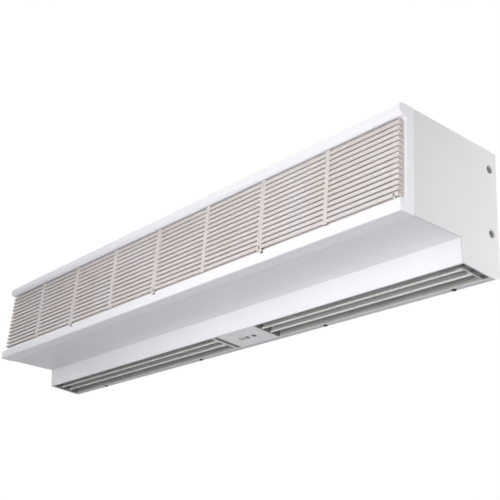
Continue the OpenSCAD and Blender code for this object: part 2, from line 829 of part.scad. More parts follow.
// Sheet that forms the outlet's front wall, curls under the fan and slopes to the floor
module tongue(x0, x1) {
    inner = tongue_r - duct_t;
    slope_end = 90 - tongue_fall;
    turn = (180 - slope_end) / 12;
    function at(r, a) = [tongue_d + r * cos(a), tongue_z + r * sin(a)];
    function slope_at(r, z) = let(top = at(r, slope_end))
        [top[0] + (top[1] - z) / tan(tongue_fall), z];
    foot = slope_at(inner, floor_z);
    color("#a9acae") along_width(x0, x1) polygon(concat(
        [[throat_d, lip_h + sheet_t]],
        [for (i = [0 : 12]) at(tongue_r, 180 - i * turn)],
        [slope_at(tongue_r, floor_z + duct_t)],
        [[foot[0] + 12, floor_z + duct_t], [foot[0] + 12, floor_z], foot],
        [for (i = [12 : -1 : 0]) at(inner, 180 - i * turn)],
        [[throat_d + duct_t, lip_h + sheet_t]]
    ));
}

module tongue_left() {
    at_wall() tongue(left_outer, left_inner);
}

module tongue_right() {
    at_wall() tongue(right_inner, right_outer);
}

// Duct plate from x0 to x1 with a round hole for the fan's shaft or bearing
module duct_plate(x0, x1, hole_r) {
    color("#b4b7b9") difference() {
        along_width(x0, x1) union() {
            span([rear_inner_d, max(floor_z, rim_top)], [casing_d - sheet_t, roof_z]);
            span([outlet_d, floor_z], [casing_d - sheet_t, max(floor_z, rim_top) + eps]);
            span([outlet_d, duct_foot], [throat_d, floor_z + eps]);
        }
        rod(x0 - 1, x1 + 1, [fan_d, fan_z], hole_r);
    }
}

module duct_plate_left_outer() {
    at_wall() duct_plate(left_outer - duct_plate_t, left_outer, bearing_rubber_r);
}

module duct_plate_left_inner() {
    at_wall() duct_plate(left_inner, left_inner + duct_plate_t, shaft_r + 6);
}

module duct_plate_right_inner() {
    at_wall() duct_plate(right_inner - duct_plate_t, right_inner, shaft_r + 6);
}

module duct_plate_right_outer() {
    at_wall() duct_plate(right_outer, right_outer + duct_plate_t, bearing_rubber_r);
}

// Louvres ----------------------------------------------------------------------------

// Right end of the blades, and the link's two faces, in a duct that ends at x1
function link_x1(x1) = x1 - bracket_t - side_gap;
function link_x0(x1) = link_x1(x1) - link_t;
function blade_x1(x1) = link_x0(x1) - side_gap;

// Louvre blade i of the duct from x0 to x1, with pivot pins and one crank pin
module louvre_blade(i, x0, x1) {
    b0 = x0 + bracket_t + side_gap;
    b1 = blade_x1(x1);
    pivot = louvre_at(i);
    drop = blade_drop - bead_r;
    color("#e4e4e0") {
        translate([0, pivot[0], pivot[1]]) rotate([louvre_angle, 0, 0]) {
            along_width(b0, b1) union() {
                span([-blade_t / 2, -drop], [blade_t / 2, blade_rise]);
                translate([0, -drop]) circle(bead_r, $fn = 24);
            }
            rod(b0, b0 + knuckle_w, [0, 0], knuckle);
            rod(b1 - knuckle_w, b1, [0, 0], knuckle);
            rod(b1 - knuckle_w, b1, [0, -crank], crank_pin_r + 1);
            rod(x0, b0 + 1, [0, 0], louvre_pin_r);
            rod(b1 - 1, x1, [0, 0], louvre_pin_r);
            rod(b1 - 1, link_x1(x1), [0, -crank], crank_pin_r);
        }
    }
}

module louvre_left_front() {
    at_wall() louvre_blade(0, left_outer, left_inner);
}

module louvre_left_rear() {
    at_wall() louvre_blade(1, left_outer, left_inner);
}

module louvre_right_front() {
    at_wall() louvre_blade(0, right_inner, right_outer);
}

module louvre_right_rear() {
    at_wall() louvre_blade(1, right_inner, right_outer);
}

// Link that ties the two blades of a bank, in a duct that ends at x1
module louvre_link(x1) {
    front = louvre_at(0) + crank_in;
    rear = louvre_at(1) + crank_in;
    reach = (front[0] - outlet_d - link_gap) / cos(outlet_slope);
    color("#f0f0ee") difference() {
        along_width(link_x0(x1), link_x1(x1)) translate(front) rotate(outlet_slope)
            translate([-reach, -link_h / 2]) square([reach + link_h / 2, link_h]);
        for (at = [front, rear])
            rod(link_x0(x1) - 1, link_x1(x1) + 1, at, crank_pin_r + pin_clear);
    }
}

module louvre_left_link() {
    at_wall() louvre_link(left_inner);
}

module louvre_right_link() {
    at_wall() louvre_link(right_outer);
}

// Bracket plate from x0 to x1 with a bore for each blade of its bank, and a flange at its foot
// that reaches from flange_x0 to flange_x1 and closes the outlet beside the blades
module bracket(x0, x1, flange_x0, flange_x1) {
    front = throat_d - side_gap;
    foot = [outlet_d, bracket_foot];
    tip = [front, plane_z(front) + bracket_foot];
    rise = [0, flange_plate_t];
    difference() {
        union() {
            along_width(x0, x1)
                polygon([foot, tip, [front, plane_z(front) + bracket_top], [outlet_d, bracket_top]]);
            along_width(flange_x0, flange_x1) polygon([foot, tip, tip + rise, foot + rise]);
        }
        for (i = [0, 1]) rod(x0 - 1, x1 + 1, louvre_at(i), louvre_pin_r + pin_clear);
    }
}

module louvre_brackets_left() {
    plate_x = control_x - control_w / 2;
    at_wall() color("#55585a") {
        bracket(left_outer, left_outer + bracket_t, -inner_half, left_outer + bracket_t);
        bracket(left_inner - bracket_t, left_inner, left_inner - bracket_t, plate_x - control_gap);
    }
}

module louvre_brackets_right() {
    at_wall() color("#55585a") {
        bracket(right_inner, right_inner + bracket_t, right_inner, right_inner + bracket_t);
        bracket(right_outer - bracket_t, right_outer, right_outer - bracket_t, inner_half);
    }
}

// Fans -------------------------------------------------------------------------------

// Outline of one curled fan blade, from its root to its tip
module fan_blade_outline() {
    root = fan_r - fan_blade_w - 0.5;
    tip = fan_r - 0.5;
    steps = 4;
    function at(t, side) = let(r = root + (tip - root) * t,
        a = fan_curl * t * t + side * 90 * fan_blade_t / (PI * r)) [r * cos(a), r * sin(a)];
    polygon(concat([for (k = [0 : steps]) at(k / steps, -1)],
                   [for (k = [steps : -1 : 0]) at(k / steps, 1)]));
}

// Fan from x0 to x1 with blade sections between discs, hub disc on the side given by 1 or -1
module fan(x0, x1, sections, hub_side) {
    pitch = (x1 - x0 - disc_t) / sections;
    hub_x = hub_side > 0 ? x1 - disc_t : x0;
    stub_x = hub_side > 0 ? x0 : x1 - disc_t;
    color("#8f9396") difference() {
        union() {
            for (k = [0 : sections]) rod(x0 + k * pitch, x0 + k * pitch + disc_t,
                [fan_d, fan_z], fan_r);
            translate([0, fan_d, fan_z]) for (k = [0 : fan_blades - 1])
                rotate([k * 360 / fan_blades, 0, 0]) along_width(x0, x1) fan_blade_outline();
        }
        rod(x0 + disc_t, x1 - disc_t, [fan_d, fan_z], fan_r - fan_blade_w - 2);
        rod(hub_x - 1, hub_x + disc_t + 1, [fan_d, fan_z], hub_r);
        rod(stub_x - 1, stub_x + disc_t + 1, [fan_d, fan_z], stub_r);
    }
}

left_fan_x0 = left_outer + fan_outer_gap;
left_fan_x1 = left_inner - fan_end_gap;
right_fan_x0 = right_inner + fan_end_gap;
right_fan_x1 = right_outer - fan_outer_gap;

module fan_left() {
    at_wall() fan(left_fan_x0, left_fan_x1, left_sections, 1);
}

module fan_right() {
    at_wall() fan(right_fan_x0, right_fan_x1, right_sections, -1);
}

// Flanged stub shafts at the outer ends of the fans
module fan_end_shafts() {
    tip = duct_end - cover_t - 1.5;
    at_wall() color("#9a9da0") {
        union() {
            rod(left_outer - tip, left_fan_x0 + disc_t + 3, [fan_d, fan_z], stub_r);
            rod(left_fan_x0 + disc_t, left_fan_x0 + disc_t + 3, [fan_d, fan_z], stub_flange_r);
        }
        union() {
            rod(right_fan_x1 - disc_t - 3, right_outer + tip, [fan_d, fan_z], stub_r);
            rod(right_fan_x1 - disc_t - 3, right_fan_x1 - disc_t, [fan_d, fan_z], stub_flange_r);
        }
    }
}

// Rubber hubs that join the fans' inner discs to the motor shaft
module fan_hubs() {
    at_wall() color("#2a2a2c") {
        tube(left_fan_x1 - hub_w, left_fan_x1, [fan_d, fan_z], hub_r, shaft_r);
        tube(right_fan_x0, right_fan_x0 + hub_w, [fan_d, fan_z], hub_r, shaft_r);
    }
}

// Sleeve bearings that carry the stub shafts
module end_bearings() {
    at_wall() color("#b08d57") {
        tube(left_outer + bearing_end - bearing_w, left_outer + bearing_end, [fan_d, fan_z],
             bearing_r, stub_r + pin_clear);
        tube(right_outer - bearing_end, right_outer - bearing_end + bearing_w, [fan_d, fan_z],
             bearing_r, stub_r + pin_clear);
    }
}

// Rubbers that hold the end bearings in the outer duct plates
module bearing_rubbers() {
    at_wall() color("#222224") {
        tube(left_outer + bearing_end - bearing_w, left_outer + bearing_end, [fan_d, fan_z],
             bearing_rubber_r, bearing_r);
        tube(right_outer - bearing_end, right_outer - bearing_end + bearing_w, [fan_d, fan_z],
             bearing_rubber_r, bearing_r);
    }
}

// Motor ------------------------------------------------------------------------------

module motor_shaft() {
    over = 2;
    at_wall() color("#a6a9ad")
        rod(left_fan_x1 - hub_w - over, right_fan_x0 + hub_w + over, [fan_d, fan_z], shaft_r);
}

module motor_core() {
    at_wall() color("#8a8c8e")
        tube(motor_x - stack_w / 2, motor_x + stack_w / 2, [fan_d, fan_z], core_r, shaft_r);
}

module motor_stator() {
    at_wall() color("#6f7375")
        tube(motor_x - stack_w / 2, motor_x + stack_w / 2, [fan_d, fan_z],
             motor_r - can_wall, core_r + air_gap);
}

module motor_can() {
    at_wall() color("#4a4d50")
        tube(motor_x - motor_w / 2, motor_x + motor_w / 2, [fan_d, fan_z],
             motor_r, motor_r - can_wall);
}

module motor_end_bells() {
    face = motor_w / 2;
    at_wall() color("#5a5d60") for (side = [-1, 1]) difference() {
        union() {
            rod(motor_x + min(side * face, side * (face + bell_t)),
                motor_x + max(side * face, side * (face + bell_t)), [fan_d, fan_z], motor_r);
            rod(motor_x + min(side * face, side * (face + bell_t + boss_w)),
                motor_x + max(side * face, side * (face + bell_t + boss_w)),
                [fan_d, fan_z], boss_r);
        }
        rod(motor_x - unit_w, motor_x + unit_w, [fan_d, fan_z], bell_bore);
    }
}

// Position of the rubber ring on the side given by 1 or -1, as its two faces
function ring_x0(side) = motor_x + side * (motor_w / 2 + bell_t + boss_w - ring_w / 2) - ring_w / 2;

module motor_rubber_rings() {
    at_wall() color("#1f1f21") for (side = [-1, 1])
        tube(ring_x0(side), ring_x0(side) + ring_w, [fan_d, fan_z], ring_r, boss_r);
}

module motor_cradle() {
    base_d = step_d + 2;
    reach = motor_w / 2 + bell_t + boss_w + 1;
    at_wall() color("#9fa3a6") union() {
        translate([motor_x - reach, base_d, floor_z]) cube([2 * reach, cradle_d, cradle_t]);
        for (side = [-1, 1]) difference() {
            along_width(ring_x0(side), ring_x0(side) + ring_w)
                polygon([[base_d, floor_z + eps], [base_d + cradle_d, floor_z + eps],
                         [fan_d + saddle_half, fan_z], [fan_d - saddle_half, fan_z]]);
            rod(ring_x0(side) - 1, ring_x0(side) + ring_w + 1, [fan_d, fan_z], ring_r);
        }
    }
}

module motor_straps() {
    at_wall() color("#9fa3a6") for (side = [-1, 1])
        along_width(ring_x0(side), ring_x0(side) + ring_w) difference() {
            union() {
                translate([fan_d, fan_z]) circle(strap_r);
                span([fan_d - saddle_half, fan_z], [fan_d + saddle_half, fan_z + cradle_t]);
            }
            translate([fan_d, fan_z]) circle(ring_r);
            span([fan_d - 2 * strap_r, fan_z - 2 * strap_r], [fan_d + 2 * strap_r, fan_z]);
        }
}

// Clip and capacitor on the back sheet beside the motor
clip_t = 1.5;
capacitor_d = rear_inner_d + clip_t + capacitor_r;

module capacitor() {
    at_wall() color("#d9d9d4")
        rod(motor_x - capacitor_w / 2, motor_x + capacitor_w / 2,
            [capacitor_d, capacitor_z], capacitor_r);
}

module capacitor_clip() {
    clip_w = 12;
    at_wall() color("#9fa3a6") difference() {
        union() {
            rod(motor_x - clip_w / 2, motor_x + clip_w / 2, [capacitor_d, capacitor_z],
                capacitor_r + clip_t);
            translate([motor_x - clip_w / 2, rear_inner_d, capacitor_z - capacitor_r - 10])
                cube([clip_w, clip_t, 2 * capacitor_r + 20]);
        }
        rod(motor_x - clip_w, motor_x + clip_w, [capacitor_d, capacitor_z], capacitor_r);
    }
}

// Controls ---------------------------------------------------------------------------

// Frame of the control plate: origin at the middle of its outer face, +Z into the unit
module at_controls() {
    translate([control_x, control_mid, plane_z(control_mid)]) rotate([outlet_slope, 0, 0])
        children();
}

module control_plate() {
    at_wall() color("#d0d0d4") at_controls() difference() {
        translate([-control_w / 2, -control_depth / 2, 0])
            cube([control_w, control_depth, control_t]);
        for (i = [1, 2]) translate([mark_xs[i], 0, -1])
            cylinder(r = button_r + button_clear, h = control_t + 2);
        translate([mark_xs[0] - window_size[0] / 2, -window_size[1] / 2, -1])
            cube([window_size[0], window_size[1], control_t + 2]);
    }
}

module receiver_window() {
    stand = 0.4;
    rim = 1;
    at_wall() color("#b9b49a") at_controls() difference() {
        translate([mark_xs[0] - window_size[0] / 2, -window_size[1] / 2, -stand])
            cube([window_size[0], window_size[1], control_t + 1]);
        translate([mark_xs[0] - window_size[0] / 2 + rim, rim - window_size[1] / 2, -stand - 1])
            cube([window_size[0] - 2 * rim, window_size[1] - 2 * rim, stand + 1]);
    }
}

// Push button at an offset x along the plate, with a flange that keeps it behind the plate
module push_button(x) {
    top = control_t + flange_gap + flange_t;
    color("#2c2c2e") at_controls() translate([x, 0, 0]) union() {
        translate([0, 0, -button_out]) cylinder(r = button_r, h = button_out + top);
        translate([0, 0, top - flange_t]) cylinder(r = button_r + 1.2, h = flange_t);
    }
}

module speed_button() {
    at_wall() push_button(mark_xs[1]);
}

module power_button() {
    at_wall() push_button(mark_xs[2]);
}

// Board with its two push switches, each just beyond the end of a button's travel
module circuit_board() {
    deep = control_depth - 2 * box_wall - 6;
    wide = control_w - 2 * box_wall - 6;
    reach = board_z - (control_t + flange_gap + flange_t + button_travel + 0.3);
    at_wall() color("#2f6b45") at_controls() union() {
        translate([-wide / 2, -deep / 2, board_z]) cube([wide, deep, board_t]);
        for (i = [1, 2]) translate([mark_xs[i] - switch_size[0] / 2, -switch_size[1] / 2,
                                    board_z - reach])
            cube([switch_size[0], switch_size[1], reach + eps]);
    }
}

module terminal_block() {
    size = [48, 16, 12];
    at_wall() color("#e7e2d2") at_controls() difference() {
        translate([-size[0] / 2, -size[1] / 2, board_z + board_t]) cube(size);
        for (i = [-2 : 2]) translate([i * 9, 0, board_z + board_t + size[2] - 5])
            cylinder(r = 2.2, h = 6);
    }
}

// Open box over the control plate, with ledges that carry the board and with a tab on each
// side that meets the inner duct plates
module control_box() {
    wide = control_w - 4;
    deep = control_depth - 4;
    tab0 = left_inner + duct_plate_t - control_x;
    tab1 = right_inner - duct_plate_t - control_x;
    tab_h = 6;
    at_wall() color("#3b3e42") at_controls() union() {
        difference() {
            translate([-wide / 2, -deep / 2, control_t]) cube([wide, deep, box_h]);
            translate([box_wall - wide / 2, box_wall - deep / 2, control_t - 1])
                cube([wide - 2 * box_wall, deep - 2 * box_wall, box_h + 1 - box_wall]);
        }
        for (side = [-1, 1]) translate([side * (wide / 2 - box_wall - 2) - 2.5, -deep / 2 + eps,
                                        control_t])
            cube([5, deep - 2 * eps, board_z - control_t]);
        for (span_x = [[tab0, eps - wide / 2], [wide / 2 - eps, tab1]])
            translate([span_x[0], -deep / 4, control_t + box_h - tab_h])
                cube([span_x[1] - span_x[0], deep / 2, tab_h]);
    }
}

wall_plate();
back_casing();
front_casing();
end_cover_left();
end_cover_right();
outlet_rear_rim();
end_cover_screws();
rim_screws();
bezel_top_rail();
bezel_bottom_rail();
bezel_post_left();
bezel_post_right();
grille_hinge_lugs();
grille_hinge_pins();
grille_catches();
intake_grille_1();
intake_grille_2();
intake_grille_3();
intake_grille_4();
scroll_left();
scroll_right();
tongue_left();
tongue_right();
duct_plate_left_outer();
duct_plate_left_inner();
duct_plate_right_inner();
duct_plate_right_outer();
louvre_left_front();
louvre_left_rear();
louvre_left_link();
louvre_right_front();
louvre_right_rear();
louvre_right_link();
louvre_brackets_left();
louvre_brackets_right();
fan_left();
fan_right();
fan_end_shafts();
fan_hubs();
end_bearings();
bearing_rubbers();
motor_shaft();
motor_core();
motor_stator();
motor_can();
motor_end_bells();
motor_rubber_rings();
motor_cradle();
motor_straps();
capacitor();
capacitor_clip();
control_box();
circuit_board();
terminal_block();
control_plate();
speed_button();
power_button();
receiver_window();
cable_grommet();
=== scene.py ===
"""Studio picture of a wall-mounted air curtain, dressed over its packed construction model."""

import logging
import math
from dataclasses import dataclass, field
from enum import Enum, IntEnum
from typing import Any

import bmesh
import bpy
from mathutils import Matrix, Vector


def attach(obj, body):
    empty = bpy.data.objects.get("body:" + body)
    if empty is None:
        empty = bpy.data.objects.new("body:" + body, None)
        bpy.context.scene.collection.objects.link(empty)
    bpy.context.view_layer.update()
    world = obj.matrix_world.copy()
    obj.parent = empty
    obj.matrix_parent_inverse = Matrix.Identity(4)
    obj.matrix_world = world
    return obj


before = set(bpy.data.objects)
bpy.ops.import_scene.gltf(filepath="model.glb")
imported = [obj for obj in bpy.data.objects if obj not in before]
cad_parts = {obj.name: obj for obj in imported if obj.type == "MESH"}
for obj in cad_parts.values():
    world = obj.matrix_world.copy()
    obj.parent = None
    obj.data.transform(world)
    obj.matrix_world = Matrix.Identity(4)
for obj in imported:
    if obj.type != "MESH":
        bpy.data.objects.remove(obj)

LOG = logging.getLogger("air_curtain")
MM = 0.001

# Part of the noise's range that a colour drift uses, which leaves both colours some plain ground.
DRIFT_SPAN = (0.35, 0.65)
# Lowest roughness that a worn gloss may reach.
LEAST_ROUGHNESS = 0.02
# Angle between faces, in degrees, above which an edge shows sharp.
SHARP_DEG = 35
# Height of a ring's foot above the face that it lies on, in millimetres.
RING_CLEAR = 0.02
# Steps across the rounded top of a ring.
ARCH_STEPS = 12
# Steps round the bead of an edge strip.
BEAD_STEPS = 10
# Depth that a small domed piece reaches into what carries it, in millimetres.
DOME_SEAT = 0.1
# Squareness of a dome's outline: 1 gives an ellipse, and less gives squarer corners.
DOME_SQUARENESS = 0.35
# How late a dome falls away towards its edge.
DOME_FALL = 2.5
# Outlines of a dome from its edge inwards, as shares of the full size.
DOME_SIZES = (1.0, 0.94, 0.84, 0.68, 0.48, 0.24)


# ------------------------------------------------------------------------------ colours and nodes


def linear(hex_colour: str) -> tuple[float, float, float, float]:
    """Turns an sRGB hex colour into Blender's linear colour.

    Args:
        hex_colour: Six hex digits with a leading hash sign.

    Returns:
        Linear red, green and blue with an alpha of 1.
    """
    values = [int(hex_colour[i : i + 2], 16) / 255 for i in (1, 3, 5)]
    flat = [v / 12.92 if v <= 0.04045 else ((v + 0.055) / 1.055) ** 2.4 for v in values]
    return (flat[0], flat[1], flat[2], 1.0)


def add(
    tree: bpy.types.NodeTree,
    kind: str,
    values: dict[Any, Any] | None = None,
    links: dict[Any, bpy.types.NodeSocket] | None = None,
    **settings: Any,
) -> bpy.types.Node:
    """Adds a node with its settings, input values and incoming links.

    Args:
        tree: Node tree that gets the node.
        kind: Blender's type name of the node.
        values: Input values by input name or number.
        links: Output sockets to link in, by input name or number.
        settings: Attributes of the node itself.

    Returns:
        The new node.
    """
    node = tree.nodes.new(kind)
    for name, value in settings.items():
        setattr(node, name, value)
    for name, value in (values or {}).items():
        node.inputs[name].default_value = value
    for name, socket in (links or {}).items():
        tree.links.new(socket, node.inputs[name])
    return node


class Along(Enum):
    """Direction that a brushed, drawn or rolled grain runs in, as stretches of X, Y and Z."""

    WIDTH = (0.03, 1.0, 1.0)
    HEIGHT = (1.0, 1.0, 0.03)
    NONE = (1.0, 1.0, 1.0)


class Sides(IntEnum):
    """Steps round a small piece, more of them where it is larger or rounder."""

    # Steps round the black patch that paints a slot's shade.
    SHADE_PATCH = 32
    RIVET = 32
    TAB = 40
    LENS = 48
    WASHER = 48
    COLLAR = 64


# ------------------------------------------------------------------------------ finishes


@dataclass(frozen=True)
class Finish:
    """Surface of one real material, as a base colour with mottling, grain and worn gloss.

    Attributes:
        name: Name of the material and of how its surface was made.
        colour: Main sRGB colour.
        shade: Second sRGB colour that the mottling drifts to.
        roughness: Middle roughness.
        roughness_swing: How far the roughness drifts either way.
        metallic: 1 for bare metal, 0 for paint, plastic and rubber.
        ior: Index of refraction of a surface that isn't metal.
        mottle_mm: Size of the colour drift.
        grain_mm: Size of the fine relief.
        grain_depth_mm: Depth of the fine relief.
        grain_along: Direction that the fine relief runs in.
        edge_mm: Radius that broken edges catch the light with.
        coat: Weight of a clear top layer.
    """

    name: str
    colour: str
    shade: str
    roughness: float = 0.5
    roughness_swing: float = 0.06
    metallic: float = 0.0
    ior: float = 1.5
    mottle_mm: float = 60.0
    grain_mm: float = 1.0
    grain_depth_mm: float = 0.01
    grain_along: Along = Along.NONE
    edge_mm: float = 0.5
    coat: float = 0.0

    def mottle(self, tree: bpy.types.NodeTree, where: bpy.types.NodeSocket) -> bpy.types.NodeSocket:
        """Builds the colour drift.

        Args:
            tree: Node tree of the material.
            where: Object coordinates in metres.

        Returns:
            Factor from 0, main colour, to 1, second colour.
        """
        noise = add(
            tree,
            "ShaderNodeTexNoise",
            {"Scale": 1 / (self.mottle_mm * MM), "Detail": 3.0, "Roughness": 0.55},
            {"Vector": where},
        )
        ramp = add(
            tree,
            "ShaderNodeMapRange",
            {"From Min": DRIFT_SPAN[0], "From Max": DRIFT_SPAN[1]},
            {"Value": noise.outputs["Fac"]},
        )
        return ramp.outputs["Result"]

    def relief(self, tree: bpy.types.NodeTree, where: bpy.types.NodeSocket) -> bpy.types.NodeSocket:
        """Builds the height pattern of the fine relief.

        Args:
            tree: Node tree of the material.
            where: Object coordinates in metres.

        Returns:
            Height from 0 to 1.
        """
        stretch = add(
            tree,
            "ShaderNodeMapping",
            {"Scale": self.grain_along.value},
            {"Vector": where},
        )
        noise = add(
            tree,
            "ShaderNodeTexNoise",
            {"Scale": 1 / (self.grain_mm * MM), "Detail": 2.0, "Roughness": 0.5},
            {"Vector": stretch.outputs["Vector"]},
        )
        return noise.outputs["Fac"]

    def material(self) -> bpy.types.Material:
        """Builds the material, or finds it if it is already built.

        Returns:
            The material.
        """
        known = bpy.data.materials.get(self.name)
        if known:
            return known
        made = bpy.data.materials.new(self.name)
        made.use_nodes = True
        tree = made.node_tree
        tree.nodes.clear()
        where = add(tree, "ShaderNodeTexCoord").outputs["Object"]
        drift = self.mottle(tree, where)
        colour = add(
            tree,
            "ShaderNodeMix",
            {6: linear(self.colour), 7: linear(self.shade)},
            {0: drift},
            data_type="RGBA",
        )
        height = self.relief(tree, where)
        gloss = add(
            tree,
            "ShaderNodeMapRange",
            {
                "To Min": max(LEAST_ROUGHNESS, self.roughness - self.roughness_swing),
                "To Max": min(1.0, self.roughness + self.roughness_swing),
            },
            {"Value": height},
        )
        edge = add(tree, "ShaderNodeBevel", {"Radius": self.edge_mm * MM}, samples=4)
        bump = add(
            tree,
            "ShaderNodeBump",
            {"Strength": 1.0, "Distance": self.grain_depth_mm * MM},
            {"Height": height, "Normal": edge.outputs["Normal"]},
        )
        shader = add(
            tree,
            "ShaderNodeBsdfPrincipled",
            {"Metallic": self.metallic, "IOR": self.ior, "Coat Weight": self.coat},
            {
                "Base Color": colour.outputs[2],
                "Roughness": gloss.outputs["Result"],
                "Normal": bump.outputs["Normal"],
            },
        )
        add(tree, "ShaderNodeOutputMaterial", None, {"Surface": shader.outputs["BSDF"]})
        return made


@dataclass(frozen=True)
class GalvanisedSheet(Finish):
    """Hot-dip galvanised steel: zinc crystals, the spangle, of about 10 mm, each a shade apart."""

    spangle_mm: float = 10.0

    def mottle(self, tree: bpy.types.NodeTree, where: bpy.types.NodeSocket) -> bpy.types.NodeSocket:
        """Builds the spangle.

        Args:
            tree: Node tree of the material.
            where: Object coordinates in metres.

        Returns:
            Factor from 0, main colour, to 1, second colour, one value per crystal.
        """
        cells = add(
            tree,
            "ShaderNodeTexVoronoi",
            {"Scale": 1 / (self.spangle_mm * MM), "Randomness": 1.0},
            {"Vector": where},
        )
        split = add(tree, "ShaderNodeSeparateColor", None, {"Color": cells.outputs["Color"]})
        return split.outputs["Red"]


# Powder-coated steel: a baked white film whose slight orange peel softens every highlight.
WHITE_POWDER = Finish(
    "powder_coated_steel_white", "#EFEFF2", "#ECECEF", 0.42, 0.05, mottle_mm=180, grain_mm=1.6,
    grain_depth_mm=0.012, edge_mm=0.9, coat=0.15,
)
# A darker grey copy of the white powder, which paints on the end covers and rear rim the shade that
# they stand in.
PAINTED_SHADE_POWDER = Finish(
    "powder_coated_steel_painted_shade_grey", "#DEDEE0", "#DBDBDD", 0.45, 0.05, mottle_mm=160, grain_mm=1.6,
    grain_depth_mm=0.012, edge_mm=0.8, coat=0.1,
)
# Extruded and capped ABS: brighter and smoother than the powder coat, with soft front edges.
WHITE_ABS = Finish(
    "moulded_abs_white", "#F4F4F8", "#F1F1F5", 0.34, 0.04, ior=1.54, mottle_mm=220, grain_mm=0.9,
    grain_depth_mm=0.005, edge_mm=0.7,
)
# Injection-moulded ABS in a warmer, darker white than the rails.
WARM_ABS = Finish(
    "moulded_abs_warm_white", "#DAD4D2", "#D5CDC8", 0.5, 0.05, ior=1.54, mottle_mm=90, grain_mm=0.8,
    grain_depth_mm=0.008, edge_mm=0.35,
)
# Unfilled nylon, moulded: milky ivory, for the lugs between the grilles and the cup washers.
NATURAL_NYLON = Finish(
    "moulded_nylon_natural", "#E6E3DA", "#DEDACF", 0.46, 0.06, ior=1.53, mottle_mm=12, grain_mm=0.5,
    grain_depth_mm=0.012, edge_mm=0.3,
)
# Glass-filled nylon, moulded: near black and dull, for catches, rivets, slots and control box.
BLACK_NYLON = Finish(
    "moulded_nylon_black", "#2B2B2D", "#232325", 0.58, 0.06, ior=1.53, mottle_mm=20, grain_mm=0.5,
    grain_depth_mm=0.02, edge_mm=0.3,
)
# The same nylon in dark grey, for the brackets that close the outlet beside the blades.
GREY_NYLON = Finish(
    "moulded_nylon_dark_grey", "#747672", "#676965", 0.55, 0.06, ior=1.53, mottle_mm=25,
    grain_mm=0.5, grain_depth_mm=0.02, edge_mm=0.3,
)
# Extruded aluminium under an opaque satin lacquer: pale, with fine draw lines along the blade.
LOUVRE_ALUMINIUM = Finish(
    "lacquered_aluminium_extrusion", "#ECECE6", "#E4E4DE", 0.4, 0.06, ior=1.5, mottle_mm=120,
    grain_mm=0.7, grain_depth_mm=0.01, grain_along=Along.WIDTH, edge_mm=0.4,
)
# Rolled aluminium strip, curled and riveted into fan blades: bare, grey and lightly dulled.
FAN_ALUMINIUM = Finish(
    "rolled_aluminium_strip", "#B9BBBD", "#A5A8AA", 0.42, 0.1, metallic=1.0, mottle_mm=30,
    grain_mm=0.5, grain_depth_mm=0.01, grain_along=Along.WIDTH, edge_mm=0.2,
)
# Hot-dip galvanised sheet: cool grey zinc with spangle, for ducts, wall plate and cradle.
ZINC_SHEET = GalvanisedSheet(
    "galvanised_steel_sheet", "#C6C7C8", "#BDBFC0", 0.45, 0.1, metallic=0.9, grain_mm=2.0,
    grain_depth_mm=0.01, edge_mm=0.4,
)
# Ground steel bar: bright, with fine marks round it.
BRIGHT_STEEL = Finish(
    "ground_steel_bar", "#C8C9CB", "#BABBBD", 0.28, 0.08, metallic=1.0, mottle_mm=15,
    grain_mm=0.3, grain_depth_mm=0.004, grain_along=Along.HEIGHT, edge_mm=0.2,
)
# Black phosphated screws: nearly black with a dull sheen.
BLACK_SCREW = Finish(
    "phosphated_steel_black", "#2C2C2A", "#20201E", 0.4, 0.1, metallic=0.6, mottle_mm=3,
    grain_mm=0.3, grain_depth_mm=0.006, edge_mm=0.15,
)
# Zinc-plated screws with an olive passivation: a dull brown-green metal whose cross shows.
OLIVE_SCREW = Finish(
    "olive_passivated_steel", "#55554A", "#38382F", 0.34, 0.1, metallic=0.75, mottle_mm=3,
    grain_mm=0.3, grain_depth_mm=0.006, edge_mm=0.15,
)
# Nitrile rubber, moulded: black and matt.
BLACK_RUBBER = Finish(
    "moulded_nitrile_rubber", "#1E1E20", "#262628", 0.75, 0.08, ior=1.52, mottle_mm=12,
    grain_mm=0.6, grain_depth_mm=0.02, edge_mm=0.4,
)
# Sintered bronze, oil filled: brown-gold and grainy.
SINTERED_BRONZE = Finish(
    "sintered_bronze", "#A07A48", "#8A673A", 0.5, 0.1, metallic=1.0, mottle_mm=3, grain_mm=0.35,
    grain_depth_mm=0.02, edge_mm=0.2,
)
# Stacked steel laminations: dark grey with the stack's fine lines across the axis.
LAMINATED_STEEL = Finish(
    "laminated_electrical_steel", "#77797A", "#5C5E60", 0.5, 0.1, metallic=0.9, mottle_mm=10,
    grain_mm=0.8, grain_depth_mm=0.05, grain_along=Along.HEIGHT, edge_mm=0.2,
)
# Black enamelled motor housing.
MOTOR_ENAMEL = Finish(
    "enamelled_steel_black", "#34363A", "#2B2D31", 0.4, 0.06, mottle_mm=40, grain_mm=1.2,
    grain_depth_mm=0.012, edge_mm=0.5, coat=0.2,
)
# Drawn aluminium can of the capacitor.
DRAWN_CAN = Finish(
    "drawn_aluminium_can", "#CFD0D0", "#C3C4C4", 0.35, 0.06, metallic=1.0, mottle_mm=30,
    grain_mm=0.4, grain_depth_mm=0.004, grain_along=Along.WIDTH, edge_mm=0.5,
)
# Glass-epoxy board under a green solder mask.
SOLDER_MASK = Finish(
    "glass_epoxy_green", "#2A6B45", "#235C3A", 0.35, 0.05, ior=1.55, mottle_mm=6, grain_mm=0.5,
    grain_depth_mm=0.006, edge_mm=0.2,
)
# Moulded melamine terminal strip: cream and dull.
CREAM_MELAMINE = Finish(
    "moulded_melamine_cream", "#E4DDC9", "#DAD2BC", 0.45, 0.05, ior=1.6, mottle_mm=20,
    grain_mm=0.5, grain_depth_mm=0.006, edge_mm=0.3,
)
